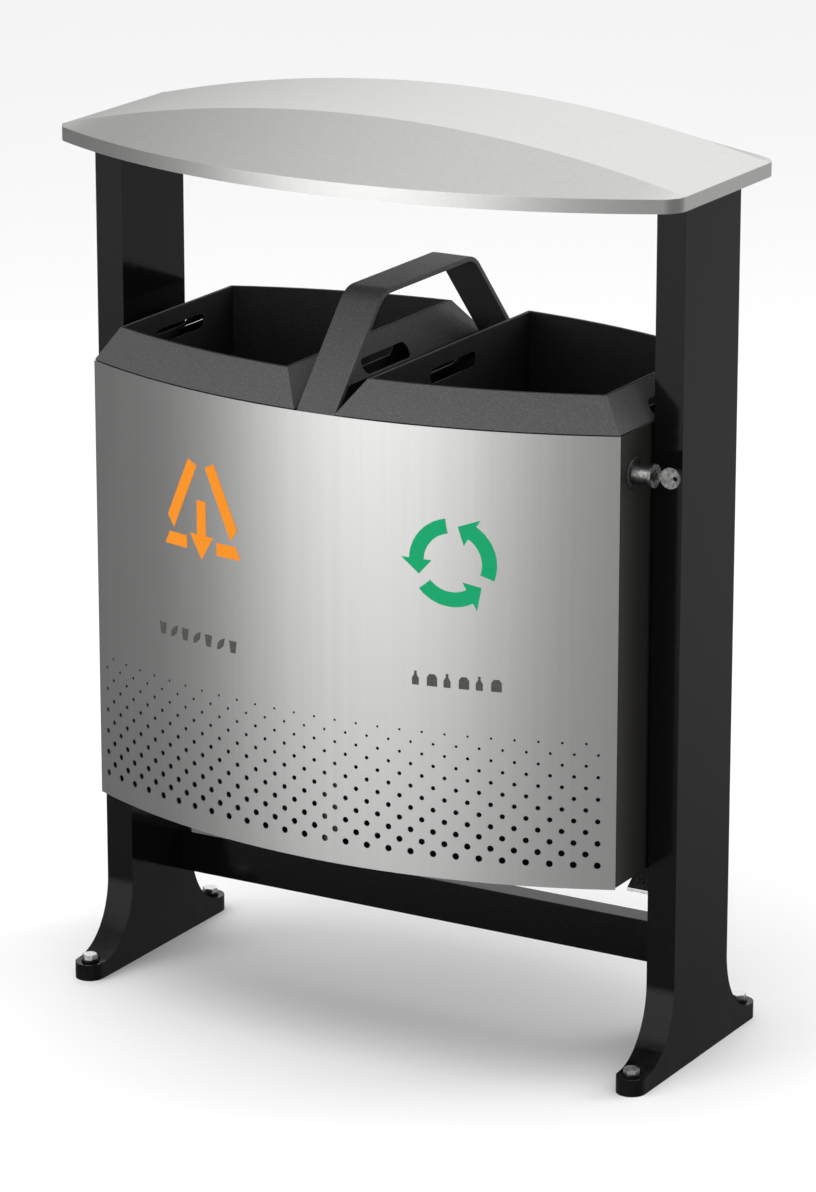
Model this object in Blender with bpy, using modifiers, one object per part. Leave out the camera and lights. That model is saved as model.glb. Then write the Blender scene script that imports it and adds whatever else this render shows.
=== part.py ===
"""Twin recycling bin station: two flared posts, an arched roof, a tilting housing and two lift-out bins.

The frame stands on the floor at z = 0 with its origin midway between the posts. +X runs from the
left post to the right post, -Y is the front and +Z is up. All sizes are in metres.
"""

import math

import bmesh
import bpy
from mathutils import Matrix, Vector

GAP = 0.0003  # clearance kept between pieces that touch

# Curved outline that the panels, the bins and the roof share, seen from above
PLAN_RADIUS = 0.770
ARC_STEPS = 16

# Posts with their flared feet
POST_INNER_X = 0.3443
POST_OUTER_X = 0.3795
POST_HALF_DEPTH = 0.0659
POST_WALL = 0.003
POST_CENTRE_X = (POST_INNER_X + POST_OUTER_X) / 2
FOOT_END_Y = 0.1337  # centre of the pad's round end
FOOT_END_RADIUS = (POST_OUTER_X - POST_INNER_X) / 2
FOOT_PAD_HEIGHT = 0.0195
FOOT_FLARE_TOP = 0.1035
CAVITY_FLOOR = 0.030

# Rear rail
RAIL_FRONT_Y = 0.0387
RAIL_BACK_Y = 0.0687
RAIL_BOTTOM = 0.0847
RAIL_TOP = 0.1345
RAIL_WALL = 0.0025

# Roof
ROOF_HALF_WIDTH = 0.3966
ROOF_FOLD_Y = 0.101  # the two fold lines, and the ends of the straight sides
ROOF_APEX_Y = 0.2262
ROOF_CORNER = 0.014
FASCIA_TOP = 1.020
FASCIA_HEIGHT = 0.016
ROOF_RISE = 0.0485
ROOF_SHEET = 0.0015
ROOF_LINER_INSET = 0.0035
ROOF_LINER_SHEET = 0.002
SPIGOT_LENGTH = 0.060
ROOF_SCREW_Z = 0.974

# Housing, which tilts forward between the posts
HOUSING_HALF_WIDTH = 0.3396
HOUSING_APEX_Y = 0.2145
HOUSING_BOTTOM = 0.236
HOUSING_TOP = 0.7558
PANEL_SHEET = 0.0015
WALL_RISE = 0.002  # the side walls and the tray end this much above the panels' lower edge
FLANGE = 0.016

# Tilt pivot
PIVOT_Y = -0.030
PIVOT_Z = 0.272
PIVOT_RADIUS = 0.006
TILT_STOP_DEG = 35.0
PIVOT_HEAD_X = 0.3312  # where the bolt's head bears on the bush
PIVOT_SHANK = 0.0265
PIVOT_FLATS = 0.018
BUSH_RADIUS = 0.0080
BUSH_FLANGE_RADIUS = 0.011
BUSH_INNER_X = 0.3318

# Tilt stops under the housing
STOP_SCREW_Y = (-0.020, 0.040)
STOP_SCREW_Z = 0.212
STOP_SCREW_HOLE = 0.0028
STOP_PLATE = 0.004
STOP_HALF_LENGTH = 0.058
STOP_REACH = 0.030
STOP_SKIRT = 0.003

# Bins
BIN_INNER_X = 0.0258  # where the collar starts, beside the handle
BIN_OUTER_X = 0.3390
BIN_TOP = 0.795
COLLAR_BOTTOM = HOUSING_TOP + 0.0014
BIN_SHEET = 0.0015
COLLAR_INSET = 0.0256
COLLAR_INSET_Y = 0.0281
SLOT_HALF_LENGTH = 0.052
SLOT_HEIGHT = 0.017
SLOT_Z = 0.7675

# Strap handle between the bins
HANDLE_WIDTH = 0.049
HANDLE_THICKNESS = 0.006
HANDLE_TOP = 0.874
HANDLE_TOP_HALF = 0.104
HANDLE_TOP_BEND = 0.026
HANDLE_FOOT_BEND = 0.014
HANDLE_TAIL = 0.062
HANDLE_BEND_STEPS = 8

# Lock on the right side wall
LOCK_Y = -0.104
LOCK_Z = 0.708
BOLT_Y = -0.045
BOLT_RADIUS = 0.005
BOLT_PLATE_LOW_X = 0.3160
BOLT_PLATE_HIGH_X = 0.3185
BOLT_PLATE_MARGIN = 0.008
PLUG_RADIUS = 0.0062
PLUG_FACE_X = 0.3678
PLUG_BACK_X = 0.3297
PLUG_TAIL_RADIUS = 0.0042
PLUG_TAIL_X = 0.3158
KEYWAY_BOTTOM_X = 0.3470
KEYWAY_HALF_WIDTH = 0.0014
KEYWAY_HALF_HEIGHT = 0.0044
ROSETTE_RADIUS = 0.0175
BARREL_HOLE = 0.0093
BARREL_NECK = 0.0090
BARREL_BACK_X = 0.3300
BARREL_FACE_X = 0.3665
BARREL_FLANGE_X = 0.3625
BARREL_FLANGE_RADIUS = 0.0135
KEY_BOW_X = 0.3842
KEY_BOW_RADIUS = 0.0122
KEY_HALF_THICKNESS = 0.0011
KEY_TIP_X = 0.3490
KEY_BLADE_HALF = 0.0038
KEY_HOLE_RADIUS = 0.0026

bpy.context.scene.unit_settings.scale_length = 1.0
for old in list(bpy.data.objects):
    bpy.data.objects.remove(old, do_unlink=True)

STATION = bpy.data.collections.new("recycling_bin_station")
CUTTERS = bpy.data.collections.new("cutters")
bpy.context.scene.collection.children.link(STATION)
bpy.context.scene.collection.children.link(CUTTERS)


def material(name, colour, roughness, metallic):
    """A Principled material with the given linear colour."""
    made = bpy.data.materials.new(name)
    made.use_nodes = True
    shader = made.node_tree.nodes["Principled BSDF"]
    shader.inputs["Base Color"].default_value = (*colour, 1.0)
    shader.inputs["Roughness"].default_value = roughness
    shader.inputs["Metallic"].default_value = metallic
    return made


POST_PAINT = material("post_paint", (0.010, 0.010, 0.011), 0.18, 0.0)
STAINLESS = material("stainless_sheet", (0.56, 0.56, 0.55), 0.34, 1.0)
ROOF_STEEL = material("roof_steel", (0.60, 0.60, 0.59), 0.40, 1.0)
SIDE_PAINT = material("side_paint", (0.022, 0.021, 0.020), 0.38, 0.0)
BIN_POWDER = material("bin_powder", (0.060, 0.061, 0.063), 0.62, 0.0)
ZINC = material("zinc_plate", (0.62, 0.63, 0.64), 0.36, 1.0)
LOCK_METAL = material("lock_metal", (0.40, 0.40, 0.39), 0.30, 1.0)
NYLON = material("nylon", (0.75, 0.74, 0.70), 0.50, 0.0)


# Building helpers

def finish(name, mesh, finish_material, shaded=True):
    """Puts a mesh in the station's collection under its node name."""
    obj = bpy.data.objects.new(name, mesh)
    obj.data.materials.append(finish_material)
    if shaded:
        mesh.shade_smooth()
        mesh.set_sharp_from_angle(angle=math.radians(30))
    STATION.objects.link(obj)
    return obj


def as_helper(obj):
    """Turns a piece into a cutter or a shape to be joined: it isn't rendered."""
    STATION.objects.unlink(obj)
    CUTTERS.objects.link(obj)
    obj.hide_render = True
    obj.display_type = "WIRE"
    return obj


def boolean(target, helper, operation):
    modifier = target.modifiers.new(operation.lower(), "BOOLEAN")
    modifier.operation = operation
    modifier.solver = "EXACT"
    modifier.object = as_helper(helper)


def cut(target, helper):
    boolean(target, helper, "DIFFERENCE")


def join(target, helper):
    boolean(target, helper, "UNION")


def thicken(obj, thickness):
    """Gives a sheet its thickness on the side its faces point away from."""
    modifier = obj.modifiers.new("sheet", "SOLIDIFY")
    modifier.thickness = thickness
    modifier.offset = -1.0
    modifier.use_even_offset = True
    return obj


def placed(axis, a, b, along):
    """The 3-D point of outline point (a, b) at a height along the extrusion axis."""
    if axis == "X":
        return Vector((along, a, b))
    return Vector((a, b, along))


def prism(name, outline, low, high, finish_material, axis="Z"):
    """A flat outline extruded along an axis from low to high, closed at both ends."""
    bm = bmesh.new()
    base = bm.faces.new([bm.verts.new(placed(axis, a, b, low)) for a, b in outline])
    grown = bmesh.ops.extrude_face_region(bm, geom=[base])["geom"]
    moved = [v for v in grown if isinstance(v, bmesh.types.BMVert)]
    bmesh.ops.translate(bm, verts=moved, vec=placed(axis, 0, 0, high - low))
    bmesh.ops.recalc_face_normals(bm, faces=bm.faces)
    mesh = bpy.data.meshes.new(name)
    bm.to_mesh(mesh)
    bm.free()
    return finish(name, mesh, finish_material)


def block(name, low, high, finish_material):
    """A box between two corners."""
    size = Vector(high) - Vector(low)
    centre = (Vector(high) + Vector(low)) / 2
    bm = bmesh.new()
    stretched = Matrix.Translation(centre) @ Matrix.Diagonal((*size, 1.0))
    bmesh.ops.create_cube(bm, size=1.0, matrix=stretched)
    mesh = bpy.data.meshes.new(name)
    bm.to_mesh(mesh)
    bm.free()
    return finish(name, mesh, finish_material, shaded=False)


def loft(name, rows, finish_material, closed=False, floor=False):
    """A sheet through rows of points; each face points to the right of its row's direction."""
    bm = bmesh.new()
    made = [[bm.verts.new(point) for point in row] for row in rows]
    count = len(rows[0])
    last = count if closed else count - 1
    for lower, upper in zip(made, made[1:]):
        for i in range(last):
            j = (i + 1) % count
            bm.faces.new((lower[i], lower[j], upper[j], upper[i]))
    if floor:
        bm.faces.new(reversed(made[0]))
    bmesh.ops.remove_doubles(bm, verts=bm.verts, dist=0.00002)
    mesh = bpy.data.meshes.new(name)
    bm.to_mesh(mesh)
    bm.free()
    return finish(name, mesh, finish_material)


TURN_TO = {
    "Z": (0.0, 0.0, 0.0),
    "X": (0.0, math.pi / 2, 0.0),
    "-X": (0.0, -math.pi / 2, 0.0),
    "Y": (-math.pi / 2, 0.0, 0.0),
    "-Y": (math.pi / 2, 0.0, 0.0),
}


def turned(name, profile, centre, direction, finish_material, ring=False, steps=24):
    """A profile of (radius, height) points, top to bottom, turned about an axis through the centre."""
    mesh = bpy.data.meshes.new(name)
    edges = [(i, i + 1) for i in range(len(profile) - 1)]
    if ring:
        edges.append((len(profile) - 1, 0))
    mesh.from_pydata([(radius, 0.0, height) for radius, height in profile], edges, [])
    obj = finish(name, mesh, finish_material, shaded=False)
    obj.location = centre
    obj.rotation_euler = TURN_TO[direction]
    screw = obj.modifiers.new("turned", "SCREW")
    screw.steps = steps
    screw.render_steps = steps
    screw.use_merge_vertices = True
    screw.merge_threshold = 0.00005
    screw.use_normal_calculate = False
    return obj


def rod(name, radius, low, high, centre, direction, finish_material, steps=24):
    """A plain cylinder from low to high along its direction."""
    profile = [(0.0, high), (radius, high), (radius, low), (0.0, low)]
    return turned(name, profile, centre, direction, finish_material, steps=steps)


def washer(name, inner, outer, low, high, centre, direction, finish_material, steps=24):
    """A flat ring from low to high along its direction."""
    profile = [(inner, high), (outer, high), (outer, low), (inner, low)]
    return turned(name, profile, centre, direction, finish_material, ring=True, steps=steps)


def hex_prism(name, across_flats, low, high, centre, direction, finish_material):
    """A hexagonal head or nut from low to high along its direction."""
    bm = bmesh.new()
    corner = across_flats / math.sqrt(3)
    middle = Matrix.Translation((0.0, 0.0, (low + high) / 2))
    bmesh.ops.create_cone(
        bm, cap_ends=True, segments=6, radius1=corner, radius2=corner, depth=high - low, matrix=middle
    )
    mesh = bpy.data.meshes.new(name)
    bm.to_mesh(mesh)
    bm.free()
    obj = finish(name, mesh, finish_material, shaded=False)
    obj.location = centre
    obj.rotation_euler = TURN_TO[direction]
    return obj


def hex_bolt(name, flats, head, radius, length, centre, direction, finish_material):
    """A bolt whose head rests on the centre and whose shank runs back along its direction."""
    obj = hex_prism(name, flats, 0.0, head, centre, direction, finish_material)
    join(obj, rod(name + "_shank", radius, -length, head / 2, centre, direction, finish_material))
    return obj


def button_screw(name, head_radius, head, radius, length, centre, direction, finish_material):
    """A round-headed screw whose head rests on the centre."""
    profile = [
        (0.0, head),
        (head_radius * 0.6, head),
        (head_radius, head * 0.35),
        (head_radius, 0.0),
        (radius, 0.0),
        (radius, -length),
        (0.0, -length),
    ]
    return turned(name, profile, centre, direction, finish_material, steps=20)


def carried_by(parent_name, centre, parent, pieces):
    """Parents pieces to an empty on their joint's axis, and the empty to the piece that carries it."""
    empty = bpy.data.objects.new(parent_name, None)
    empty.location = centre
    STATION.objects.link(empty)
    bpy.context.view_layer.update()
    if parent:
        empty.parent = parent
        empty.matrix_parent_inverse = parent.matrix_world.inverted()
    bpy.context.view_layer.update()
    for piece in pieces:
        piece.parent = empty
        piece.matrix_parent_inverse = empty.matrix_world.inverted()
    return empty


# Shared plan curve

def plan_y(x, apex):
    """Half depth at x of the plan arc whose half depth at the middle is apex."""
    return apex - PLAN_RADIUS + math.sqrt(PLAN_RADIUS**2 - x**2)


def front_arc(x_low, x_high, apex, steps=ARC_STEPS):
    """The front arc from x_low to x_high."""
    stations = [x_low + (x_high - x_low) * i / steps for i in range(steps + 1)]
    return [(x, -plan_y(x, apex)) for x in stations]


def lens(x_low, x_high, apex, steps=ARC_STEPS):
    """A closed outline, seen from above: front arc, then back arc, with straight ends."""
    front = front_arc(x_low, x_high, apex, steps)
    return front + [(x, -y) for x, y in reversed(front)]


def at_height(outline, z):
    return [Vector((x, y, z)) for x, y in outline]


def sided(side, number):
    """A number mirrored for the left side, where side is -1."""
    return side * number


def x_span(side, near, far):
    """Two X places on one side, lowest first."""
    return sorted((side * near, side * far))


# Fixed frame

def stadium(x_low, x_high, end_y, steps=16):
    """A foot's outline from above: straight sides with half-round ends."""
    centre = (x_low + x_high) / 2
    radius = (x_high - x_low) / 2
    front = [math.pi + math.pi * i / steps for i in range(steps + 1)]
    points = [(centre + radius * math.cos(a), -end_y + radius * math.sin(a)) for a in front]
    return points + [(2 * centre - x, -y) for x, y in points]


def flare(steps=20):
    """The quarter ellipse from the post's front face down to the pad, as (y, z)."""
    half_width = FOOT_END_Y - POST_HALF_DEPTH
    half_height = FOOT_FLARE_TOP - FOOT_PAD_HEIGHT
    points = []
    for i in range(steps + 1):
        angle = math.pi / 2 * i / steps
        y = -FOOT_END_Y + half_width * math.cos(angle)
        points.append((y, FOOT_FLARE_TOP - half_height * math.sin(angle)))
    return points


def post(name, side):
    """A rectangular tube whose foot flares to a front and a rear pad. The tube is open at the top."""
    tip = FOOT_END_Y + FOOT_END_RADIUS
    top = FASCIA_TOP - FASCIA_HEIGHT + 0.0002
    half = [(-POST_HALF_DEPTH, top)] + flare() + [(-tip, FOOT_PAD_HEIGHT), (-tip, 0.0)]
    outline = half + [(-y, z) for y, z in reversed(half)]
    low, high = x_span(side, POST_INNER_X, POST_OUTER_X)
    obj = prism(name, outline, low, high, POST_PAINT, axis="X")
    plan = prism(name + "_plan", stadium(low, high, FOOT_END_Y), -0.01, top + 0.01, POST_PAINT)
    boolean(obj, plan, "INTERSECT")
    wall = POST_WALL
    hollow = block(
        name + "_hollow",
        (low + wall, -POST_HALF_DEPTH + wall, CAVITY_FLOOR),
        (high - wall, POST_HALF_DEPTH - wall, top + 0.01),
        POST_PAINT,
    )
    cut(obj, hollow)
    inner = (sided(side, POST_INNER_X), PIVOT_Y, PIVOT_Z)
    cut(obj, rod(name + "_pivot_hole", PIVOT_RADIUS + GAP, -0.01, 0.01, inner, "X", POST_PAINT))
    for y in STOP_SCREW_Y:
        place = (sided(side, POST_INNER_X), y, STOP_SCREW_Z)
        hole = rod(f"{name}_stop_hole_{y:.2f}", STOP_SCREW_HOLE, -0.01, 0.01, place, "X", POST_PAINT)
        cut(obj, hole)
    back = (sided(side, POST_CENTRE_X), POST_HALF_DEPTH, ROOF_SCREW_Z)
    cut(obj, rod(name + "_roof_hole", 0.0033, -0.01, 0.01, back, "Y", POST_PAINT))
    for y in (-FOOT_END_Y, FOOT_END_Y):
        place = (sided(side, POST_CENTRE_X), y, 0.0)
        cut(obj, rod(f"{name}_anchor_hole_{y:.2f}", 0.0055, -0.01, 0.03, place, "Z", POST_PAINT))
        low_z = FOOT_PAD_HEIGHT
        cut(obj, rod(f"{name}_spot_face_{y:.2f}", 0.0125, low_z, 0.06, place, "Z", POST_PAINT))
    if side > 0:
        place = (POST_INNER_X, BOLT_Y, LOCK_Z)
        radius = BOLT_RADIUS + 0.0007
        cut(obj, rod(name + "_keeper_hole", radius, -0.01, 0.01, place, "X", POST_PAINT))
    return obj


def rear_rail():
    """A rectangular tube between the posts, low at the back."""
    reach = POST_INNER_X - GAP
    low = (-reach, RAIL_FRONT_Y, RAIL_BOTTOM)
    high = (reach, RAIL_BACK_Y, RAIL_TOP)
    obj = block("rear_rail", low, high, POST_PAINT)
    wall = RAIL_WALL
    bore = block(
        "rear_rail_bore",
        (-reach - 0.01, RAIL_FRONT_Y + wall, RAIL_BOTTOM + wall),
        (reach + 0.01, RAIL_BACK_Y - wall, RAIL_TOP - wall),
        POST_PAINT,
    )
    cut(obj, bore)
    return obj


def anchors():
    """A washer and a hex bolt on each of the four pads. The bolts' buried ends are left out."""
    for side, side_name in ((-1, "left"), (1, "right")):
        for y, end_name in ((-FOOT_END_Y, "front"), (FOOT_END_Y, "rear")):
            place = (sided(side, POST_CENTRE_X), y, FOOT_PAD_HEIGHT + GAP)
            top = FOOT_PAD_HEIGHT + 2 * GAP + 0.002
            ring = f"anchor_washer_{side_name}_{end_name}"
            washer(ring, 0.0055, 0.0105, 0.0, 0.002, place, "Z", POST_PAINT)
            bolt = f"anchor_bolt_{side_name}_{end_name}"
            hex_bolt(bolt, 0.016, 0.0064, 0.005, top - 0.001, (place[0], y, top), "Z", ZINC)


# Roof

def roof_edge_y(x):
    """Half depth of the roof's curved edge at x, rounded off at the corners."""
    edge = plan_y(x, ROOF_APEX_Y)
    into_corner = abs(x) - (ROOF_HALF_WIDTH - ROOF_CORNER)
    if into_corner <= 0:
        return edge
    share = min(into_corner / ROOF_CORNER, 1.0)
    return ROOF_FOLD_Y + (edge - ROOF_FOLD_Y) * math.sqrt(max(0.0, 1.0 - share**2))


def roof_fold_z(x):
    """Height of the fold line at x: an arc from corner to corner."""
    radius = (ROOF_HALF_WIDTH**2 + ROOF_RISE**2) / (2 * ROOF_RISE)
    return FASCIA_TOP + ROOF_RISE - radius + math.sqrt(radius**2 - x**2)


def roof_stations():
    """X stations across the roof, closer together in the rounded corners."""
    straight = ROOF_HALF_WIDTH - ROOF_CORNER
    stations = [straight * (i / 10) for i in range(-10, 11)]
    corner = [straight + ROOF_CORNER * math.sin(math.pi / 2 * i / 4) for i in range(1, 5)]
    return [-x for x in reversed(corner)] + stations + corner


def roof_shell():
    """One sheet: a barrel vault between two fold lines, a facet on each side and a turned-down fascia."""
    bottom = FASCIA_TOP - FASCIA_HEIGHT
    front_edge = []
    front_top = []
    front_fold = []
    for x in roof_stations():
        y = roof_edge_y(x)
        front_edge.append(Vector((x, -y, bottom)))
        front_top.append(Vector((x, -y, FASCIA_TOP)))
        front_fold.append(Vector((x, -ROOF_FOLD_Y, roof_fold_z(x))))
    mirrored = [[Vector((p.x, -p.y, p.z)) for p in row] for row in (front_fold, front_top, front_edge)]
    obj = loft("roof_shell", [front_edge, front_top, front_fold, *mirrored], ROOF_STEEL)
    bm = bmesh.new()
    bm.from_mesh(obj.data)
    for side in (-1, 1):
        ends = [v for v in bm.verts if abs(v.co.x - side * ROOF_HALF_WIDTH) < 0.00005]
        ends.sort(key=lambda v: math.atan2(v.co.z - (FASCIA_TOP - FASCIA_HEIGHT / 2), side * v.co.y))
        bm.faces.new(ends)
    bmesh.ops.recalc_face_normals(bm, faces=bm.faces)
    bm.to_mesh(obj.data)
    bm.free()
    obj.data.set_sharp_from_angle(angle=math.radians(14))
    return thicken(obj, ROOF_SHEET)


def roof_liner():
    """The flat panel that closes the roof from below."""
    bottom = FASCIA_TOP - FASCIA_HEIGHT + 0.0005
    half = ROOF_HALF_WIDTH - ROOF_LINER_INSET
    scale = half / ROOF_HALF_WIDTH
    front = [(x * scale, -(roof_edge_y(x) - ROOF_LINER_INSET)) for x in roof_stations()]
    outline = front + [(x, -y) for x, y in reversed(front)]
    return prism("roof_liner_panel", outline, bottom, bottom + ROOF_LINER_SHEET, ROOF_STEEL)


def roof_stiffener():
    """A channel along the middle of the roof, between the liner and the vault."""
    base = FASCIA_TOP - FASCIA_HEIGHT + 0.0005 + ROOF_LINER_SHEET + GAP
    half_width = 0.022
    height = 0.030
    profile = [(half_width, 0.0), (half_width, height), (-half_width, height), (-half_width, 0.0)]
    rows = [[Vector((x, y, base + z)) for y, z in profile] for x in (-0.20, 0.20)]
    return thicken(loft("roof_stiffener", rows, ROOF_STEEL), 0.002)


def roof_spigot(name, side):
    """A short tube under the roof that slides down into the open post."""
    clear = POST_WALL + GAP
    low, high = x_span(side, POST_INNER_X + clear, POST_OUTER_X - clear)
    depth = POST_HALF_DEPTH - clear
    top = FASCIA_TOP - FASCIA_HEIGHT + 0.0002
    obj = block(name, (low, -depth, top - SPIGOT_LENGTH), (high, depth, top), ZINC)
    wall = 0.003
    bore = block(
        name + "_bore",
        (low + wall, -depth + wall, top - SPIGOT_LENGTH - 0.01),
        (high - wall, depth - wall, top + 0.01),
        ZINC,
    )
    cut(obj, bore)
    place = (sided(side, POST_CENTRE_X), depth, ROOF_SCREW_Z)
    cut(obj, rod(name + "_hole", 0.0033, -0.01, 0.01, place, "Y", ZINC))
    return obj


def roof_screw(name, side):
    place = (sided(side, POST_CENTRE_X), POST_HALF_DEPTH + GAP, ROOF_SCREW_Z)
    return button_screw(name, 0.0055, 0.0032, 0.003, 0.012, place, "Y", ZINC)


# Tilt stops

def tilt_stop(name, side):
    """A bent shelf: its level part carries the housing at rest, its sloping part stops the tilt."""
    drop = PIVOT_Z - HOUSING_BOTTOM - WALL_RISE + GAP
    angle = math.radians(TILT_STOP_DEG)
    bend_y = PIVOT_Y + drop * math.tan(angle / 2)
    level = PIVOT_Z - drop
    front_y = -STOP_HALF_LENGTH
    front_z = level + (front_y - bend_y) * math.tan(angle)
    top = [(STOP_HALF_LENGTH, level), (bend_y, level), (front_y, front_z)]
    outline = top + [(y, z - STOP_PLATE) for y, z in reversed(top)]
    outer = POST_INNER_X - GAP
    low, high = x_span(side, outer - STOP_REACH, outer)
    obj = prism(name, outline, low, high, ZINC, axis="X")
    skirt_low = STOP_SCREW_Z - 0.012
    skirt = [(STOP_HALF_LENGTH, level - 0.002), (bend_y, level - 0.002), (front_y, front_z - 0.002)]
    skirt += [(front_y, skirt_low), (STOP_HALF_LENGTH, skirt_low)]
    low, high = x_span(side, outer - STOP_SKIRT, outer)
    join(obj, prism(name + "_skirt", skirt, low, high, ZINC, axis="X"))
    for y in STOP_SCREW_Y:
        place = (sided(side, outer), y, STOP_SCREW_Z)
        cut(obj, rod(f"{name}_hole_{y:.2f}", STOP_SCREW_HOLE, -0.01, 0.01, place, "X", ZINC))
    return obj


def stop_screws(side, side_name):
    direction = "-X" if side > 0 else "X"
    x = sided(side, POST_INNER_X - GAP - STOP_SKIRT - GAP)
    for y, end_name in zip(STOP_SCREW_Y, ("front", "rear")):
        name = f"stop_screw_{side_name}_{end_name}"
        place = (x, y, STOP_SCREW_Z)
        button_screw(name, 0.0045, 0.0028, 0.0025, 0.010, place, direction, ZINC)


# Pivots

def pivot(side, side_name):
    """A shoulder bolt from inside the housing, its nut in the post and the housing's nylon bush."""
    inward = "-X" if side > 0 else "X"
    outward = "X" if side > 0 else "-X"
    head = (sided(side, PIVOT_HEAD_X), PIVOT_Y, PIVOT_Z)
    bolt = f"pivot_bolt_{side_name}"
    hex_bolt(bolt, PIVOT_FLATS, 0.007, PIVOT_RADIUS, PIVOT_SHANK, head, inward, ZINC)
    seat = (sided(side, POST_INNER_X + POST_WALL + GAP), PIVOT_Y, PIVOT_Z)
    bore = PIVOT_RADIUS + GAP
    nut = hex_prism(f"pivot_nut_{side_name}", PIVOT_FLATS, 0.0, 0.008, seat, outward, ZINC)
    cut(nut, rod(f"pivot_nut_bore_{side_name}", bore, -0.01, 0.02, seat, outward, ZINC))
    profile = [
        (bore, POST_INNER_X - GAP),
        (BUSH_FLANGE_RADIUS, POST_INNER_X - GAP),
        (BUSH_FLANGE_RADIUS, HOUSING_HALF_WIDTH),
        (BUSH_RADIUS, HOUSING_HALF_WIDTH),
        (BUSH_RADIUS, BUSH_INNER_X),
        (bore, BUSH_INNER_X),
    ]
    axis = (0.0, PIVOT_Y, PIVOT_Z)
    return turned(f"pivot_bush_{side_name}", profile, axis, outward, NYLON, ring=True)


# Housing

def curved_panel(name, facing):
    """A stainless sheet bent to the plan curve; facing is -1 for the front and 1 for the back."""
    path = front_arc(-HOUSING_HALF_WIDTH, HOUSING_HALF_WIDTH, HOUSING_APEX_Y, 24)
    if facing > 0:
        path = [(x, -y) for x, y in reversed(path)]
    rows = [at_height(path, HOUSING_BOTTOM), at_height(path, HOUSING_TOP)]
    return thicken(loft(name, rows, STAINLESS), PANEL_SHEET)


def side_wall(name, side):
    """A painted plate with a flange along each panel, pierced for the pivot and, at the right, the lock."""
    x = HOUSING_HALF_WIDTH - GAP
    inner_apex = HOUSING_APEX_Y - PANEL_SHEET - 2 * GAP
    corner = (x, -plan_y(x, inner_apex))
    flange = (x - FLANGE, -plan_y(x - FLANGE, inner_apex) + 0.0006)
    path = [flange, corner, (corner[0], -corner[1]), (flange[0], -flange[1])]
    if side < 0:
        path = [(-px, py) for px, py in reversed(path)]
    rows = [at_height(path, HOUSING_BOTTOM + WALL_RISE), at_height(path, HOUSING_TOP - GAP)]
    obj = thicken(loft(name, rows, SIDE_PAINT), PANEL_SHEET)
    middle = (sided(side, x), PIVOT_Y, PIVOT_Z)
    cut(obj, rod(name + "_pivot_hole", BUSH_RADIUS + GAP, -0.006, 0.006, middle, "X", SIDE_PAINT))
    if side > 0:
        place = (x, LOCK_Y, LOCK_Z)
        cut(obj, rod(name + "_lock_hole", BARREL_HOLE, -0.006, 0.006, place, "X", SIDE_PAINT))
        place = (x, BOLT_Y, LOCK_Z)
        radius = BOLT_RADIUS + 0.0004
        cut(obj, rod(name + "_bolt_hole", radius, -0.006, 0.006, place, "X", SIDE_PAINT))
    return obj


def floor_tray():
    """The tray under the bins: a flat plate with a lip all round."""
    inset = PANEL_SHEET * 2 + 4 * GAP
    half = HOUSING_HALF_WIDTH - inset
    outline = lens(-half, half, HOUSING_APEX_Y - inset - 0.0006)
    bottom = HOUSING_BOTTOM + WALL_RISE
    rows = [at_height(outline, bottom), at_height(outline, bottom + 0.014)]
    return thicken(loft("floor_tray", rows, SIDE_PAINT, closed=True, floor=True), 0.0015)


def centre_divider():
    """A channel across the housing between the bins, fixed to both panels."""
    reach = HOUSING_APEX_Y - PANEL_SHEET - 0.0012
    half = 0.030
    path = [(half, reach), (0.0, reach), (0.0, -reach), (half, -reach)]
    rows = [at_height(path, HOUSING_BOTTOM + 0.0195), at_height(path, HOUSING_TOP - 0.075)]
    return thicken(loft("centre_divider", rows, SIDE_PAINT), PANEL_SHEET)


def handle_line():
    """The strap's outer line as (y, z), from the back tail over the top to the front tail."""
    tail_y = HOUSING_APEX_Y - PANEL_SHEET - 0.0008
    corners = [
        Vector((tail_y, HOUSING_TOP - HANDLE_TAIL)),
        Vector((tail_y, HOUSING_TOP - 0.002)),
        Vector((HANDLE_TOP_HALF, HANDLE_TOP)),
        Vector((-HANDLE_TOP_HALF, HANDLE_TOP)),
        Vector((-tail_y, HOUSING_TOP - 0.002)),
        Vector((-tail_y, HOUSING_TOP - HANDLE_TAIL)),
    ]
    radii = (HANDLE_FOOT_BEND, HANDLE_TOP_BEND, HANDLE_TOP_BEND, HANDLE_FOOT_BEND)
    line = [corners[0]]
    for before, corner, after, radius in zip(corners, corners[1:], corners[2:], radii):
        into = (before - corner).normalized()
        out = (after - corner).normalized()
        half_angle = into.angle(out) / 2
        tangent = radius / math.tan(half_angle)
        centre = corner + (into + out).normalized() * radius / math.sin(half_angle)
        start = corner + into * tangent - centre
        turn = (math.pi - 2 * half_angle) * bend_sign(before, corner, after)
        for i in range(HANDLE_BEND_STEPS + 1):
            angle = turn * i / HANDLE_BEND_STEPS
            line.append(centre + Matrix.Rotation(angle, 2) @ start)
    line.append(corners[-1])
    return line


def bend_sign(before, corner, after):
    """1 where the line turns anticlockwise at the corner, otherwise -1."""
    into = corner - before
    out = after - corner
    return 1 if into.x * out.y - into.y * out.x > 0 else -1


def strap_handle():
    """A flat bar bent over the gap between the bins, its tails inside the two panels."""
    half = HANDLE_WIDTH / 2
    rows = [[Vector((x, p.x, p.y)) for p in handle_line()] for x in (-half, half)]
    return thicken(loft("strap_handle", rows, BIN_POWDER), HANDLE_THICKNESS)


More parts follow.
